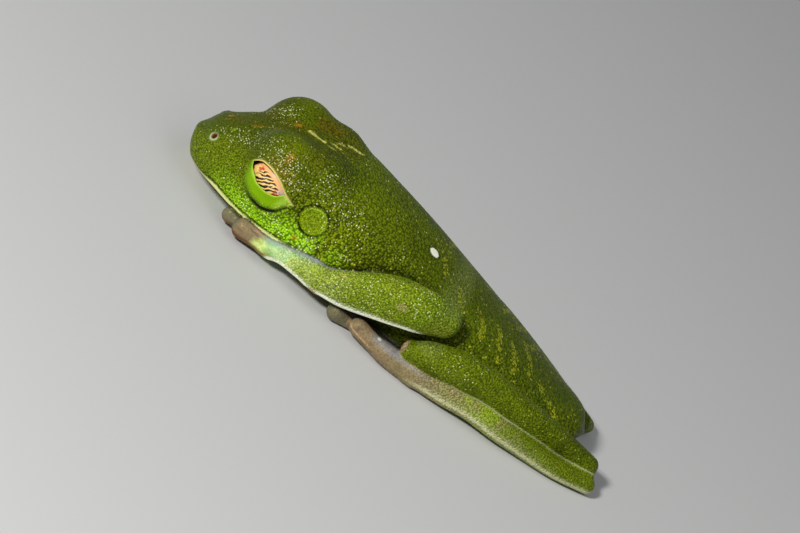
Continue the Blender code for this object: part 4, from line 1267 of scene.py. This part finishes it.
def eye_material():
    """Membrane of the shut eye: black wavy lines on cream gold, traces of red, and painted shade at its front
    corner and along its upper edge under the lid.
    """
    made, nodes, surface = material("eye_membrane")
    slit = attribute(nodes, "slit", "Vector")
    along, _, below = nodes.add("ShaderNodeSeparateXYZ", i0=slit).outputs
    turned = nodes.add("ShaderNodeMapping", {"vector_type": "POINT"}, Vector=slit,
                       Rotation=(0, 0, math.radians(-WAVE_TURN))).outputs[0]
    wave = nodes.add("ShaderNodeTexWave", {"bands_direction": "Y"}, Vector=turned, Scale=WAVE_SCALE,
                     Distortion=4.6, Detail=1.5, Detail_Scale=1.5, Detail_Roughness=0.5).outputs["Fac"]
    stretched = nodes.add("ShaderNodeMapping", {"vector_type": "POINT"}, Vector=turned,
                          Scale=(1.4, 3.4, 1.0)).outputs[0]
    broken = nodes.ramp(nodes.speckle(stretched, 1.0, 1.0), 0.34, 0.40)
    zone = nodes.times(nodes.ramp(below, 0.42, 0.65), nodes.ramp(along, 1.0, 1.4))
    line = nodes.times(nodes.ramp(wave, 0.34, 0.46), broken, zone)
    cream = nodes.inked(nodes.ramp(below, 0.9, 0.2), (*MEMBRANE_GOLD, 1), MEMBRANE_WARM)
    cream = nodes.inked(nodes.ramp(along, 3.8, 4.8), cream, MEMBRANE_GREY)
    colour = nodes.inked(line, cream, NET_BLACK)
    spots = nodes.voronoi(slit, scale=1.9)
    chance = nodes.add("ShaderNodeSeparateColor", i0=spots.outputs["Color"]).outputs[0]
    chosen = nodes.math("LESS_THAN", chance, 0.9)
    ends = nodes.math("MAXIMUM", nodes.ramp(along, 2.1, 1.6), nodes.ramp(along, 3.7, 4.1))
    red = nodes.times(nodes.ramp(spots.outputs["Distance"], 0.52, 0.40), chosen, ends)
    red = nodes.times(red, nodes.ramp(below, 0.3, 0.5), 0.85)
    colour = nodes.inked(red, colour, TRACE_RED)
    # Painted shade at the front corner of the slit and under the upper lid
    corner = nodes.ramp(nodes.math("ADD", along, nodes.times(below, 0.7)), 1.15, 0.75)
    edge = nodes.times(nodes.ramp(below, 0.20, 0.10), nodes.ramp(along, 3.3, 2.3))
    colour = nodes.inked(nodes.math("MAXIMUM", corner, edge), colour, SLIT_SHADE)
    nodes.tree.links.new(colour, surface.inputs["Base Color"])
    surface.inputs["Roughness"].default_value = 0.3
    surface.inputs["Coat Weight"].default_value = 0.4
    surface.inputs["Coat Roughness"].default_value = 0.15
    return made


def build_eye(side, word, coat):
    """Eyeball under the lids, finely divided, with its place in the slit's plane at each point."""
    bm = bmesh.new()
    bmesh.ops.create_icosphere(bm, subdivisions=EYE_DIVISIONS, radius=BALL_RADIUS)
    points = np.array([v.co[:] for v in bm.verts]) + EYE_CENTRE * (side, 1, 1)
    faces = np.array([[v.index for v in f.verts] for f in bm.faces])
    bm.free()
    t, v, _ = slit_places(points.T, side)
    item = add_mesh(f"eyeball_{word}", points, faces, {"slit": np.stack([t, v, margin_heights(t)[0] - v], 1)})
    item.data.materials.append(coat)
    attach(item, "root")
    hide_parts(f"eye_{word}")


# Camera, at the photograph's angle
VIEW_RIGHT = np.array([-0.158, 0.783, 0.602])
VIEW_UP = np.array([-0.438, -0.602, 0.668])
VIEW_MIDDLE = np.array([1.734, 26.982, 6.24])
VIEW_DISTANCE = 450.0
PIXELS_PER_MM = 9.22
PICTURE_WIDTH = 800
SENSOR = 36.0

# Lights: direction as shares of the camera's right, up and back; distance and size in mm; power in watts
LIGHTS = [("key", (-0.22, 0.38, 1.0), 480, 60, 2.3), ("fill", (0.9, 0.2, 0.7), 500, 420, 0.4)]
SKY = (0.9, 0.95, 1.0, 1)
SKY_STRENGTH = 0.16
FLOOR_GREY = (0.62, 0.62, 0.60, 1)
FLOOR_HALF = 2.0


def place(point):
    """A place in mm as a Blender vector."""
    return Vector((point[0] * MM, (point[1] - MIDDLE) * MM, point[2] * MM))


def view_axes():
    """The camera's right, up and backward directions."""
    right = unit(VIEW_RIGHT)
    up = unit(VIEW_UP - np.dot(VIEW_UP, right) * right)
    return right, up, np.cross(right, up)


def build_camera():
    """Camera where the photograph was taken from, turned with the frog onto the floor."""
    right, up, back = view_axes()
    data = bpy.data.cameras.new("camera")
    camera = linked("camera", data)
    where = place(VIEW_MIDDLE + back * VIEW_DISTANCE)
    rows = [[right[r], up[r], back[r], where[r]] for r in range(3)]
    camera.matrix_world = Matrix(rows + [[0, 0, 0, 1]])
    data.sensor_width = SENSOR
    data.lens = SENSOR * VIEW_DISTANCE / (PICTURE_WIDTH / PIXELS_PER_MM)
    data.clip_start = 0.01
    bpy.context.scene.camera = camera


def add_light(name, direction, distance, size, power):
    """A square soft light that looks at the frog from a direction given as right, up and back shares."""
    right, up, back = view_axes()
    towards = unit(direction[0] * right + direction[1] * up + direction[2] * back)
    data = bpy.data.lights.new(name, "AREA")
    data.size = size * MM
    data.energy = power
    item = linked(name, data)
    item.location = place(VIEW_MIDDLE + towards * distance)
    item.rotation_mode = "QUATERNION"
    item.rotation_quaternion = Vector(towards).to_track_quat("Z", "Y")


def build_studio():
    """Pale floor and plain soft lights."""
    bm = bmesh.new()
    bmesh.ops.create_grid(bm, x_segments=4, y_segments=4, size=FLOOR_HALF)
    mesh = bpy.data.meshes.new("floor")
    bm.to_mesh(mesh)
    bm.free()
    floor = linked("floor", mesh)
    made, _, surface = material("pale_floor")
    surface.inputs["Base Color"].default_value = FLOOR_GREY
    surface.inputs["Roughness"].default_value = 0.8
    mesh.materials.append(made)
    for light in LIGHTS:
        add_light(*light)
    world = bpy.data.worlds.new("studio")
    world.use_nodes = True
    background = world.node_tree.nodes["Background"]
    background.inputs["Color"].default_value = SKY
    background.inputs["Strength"].default_value = SKY_STRENGTH
    bpy.context.scene.world = world
    bpy.context.scene.view_settings.view_transform = "Standard"


def main():
    """Skin, eyes, camera and studio."""
    points, quads, normals, away_body, away = build_skin()
    moved, values = sculpt_and_paint(points, normals, away_body, away)
    skin = add_mesh("skin", moved, quads, values)
    granule_modifier(skin)
    skin.data.materials.append(skin_material())
    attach(skin, "root")
    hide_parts(*[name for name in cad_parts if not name.startswith("eye_")])
    coat = eye_material()
    build_eye(1, "left", coat)
    build_eye(-1, "right", coat)
    build_camera()
    build_studio()


main()
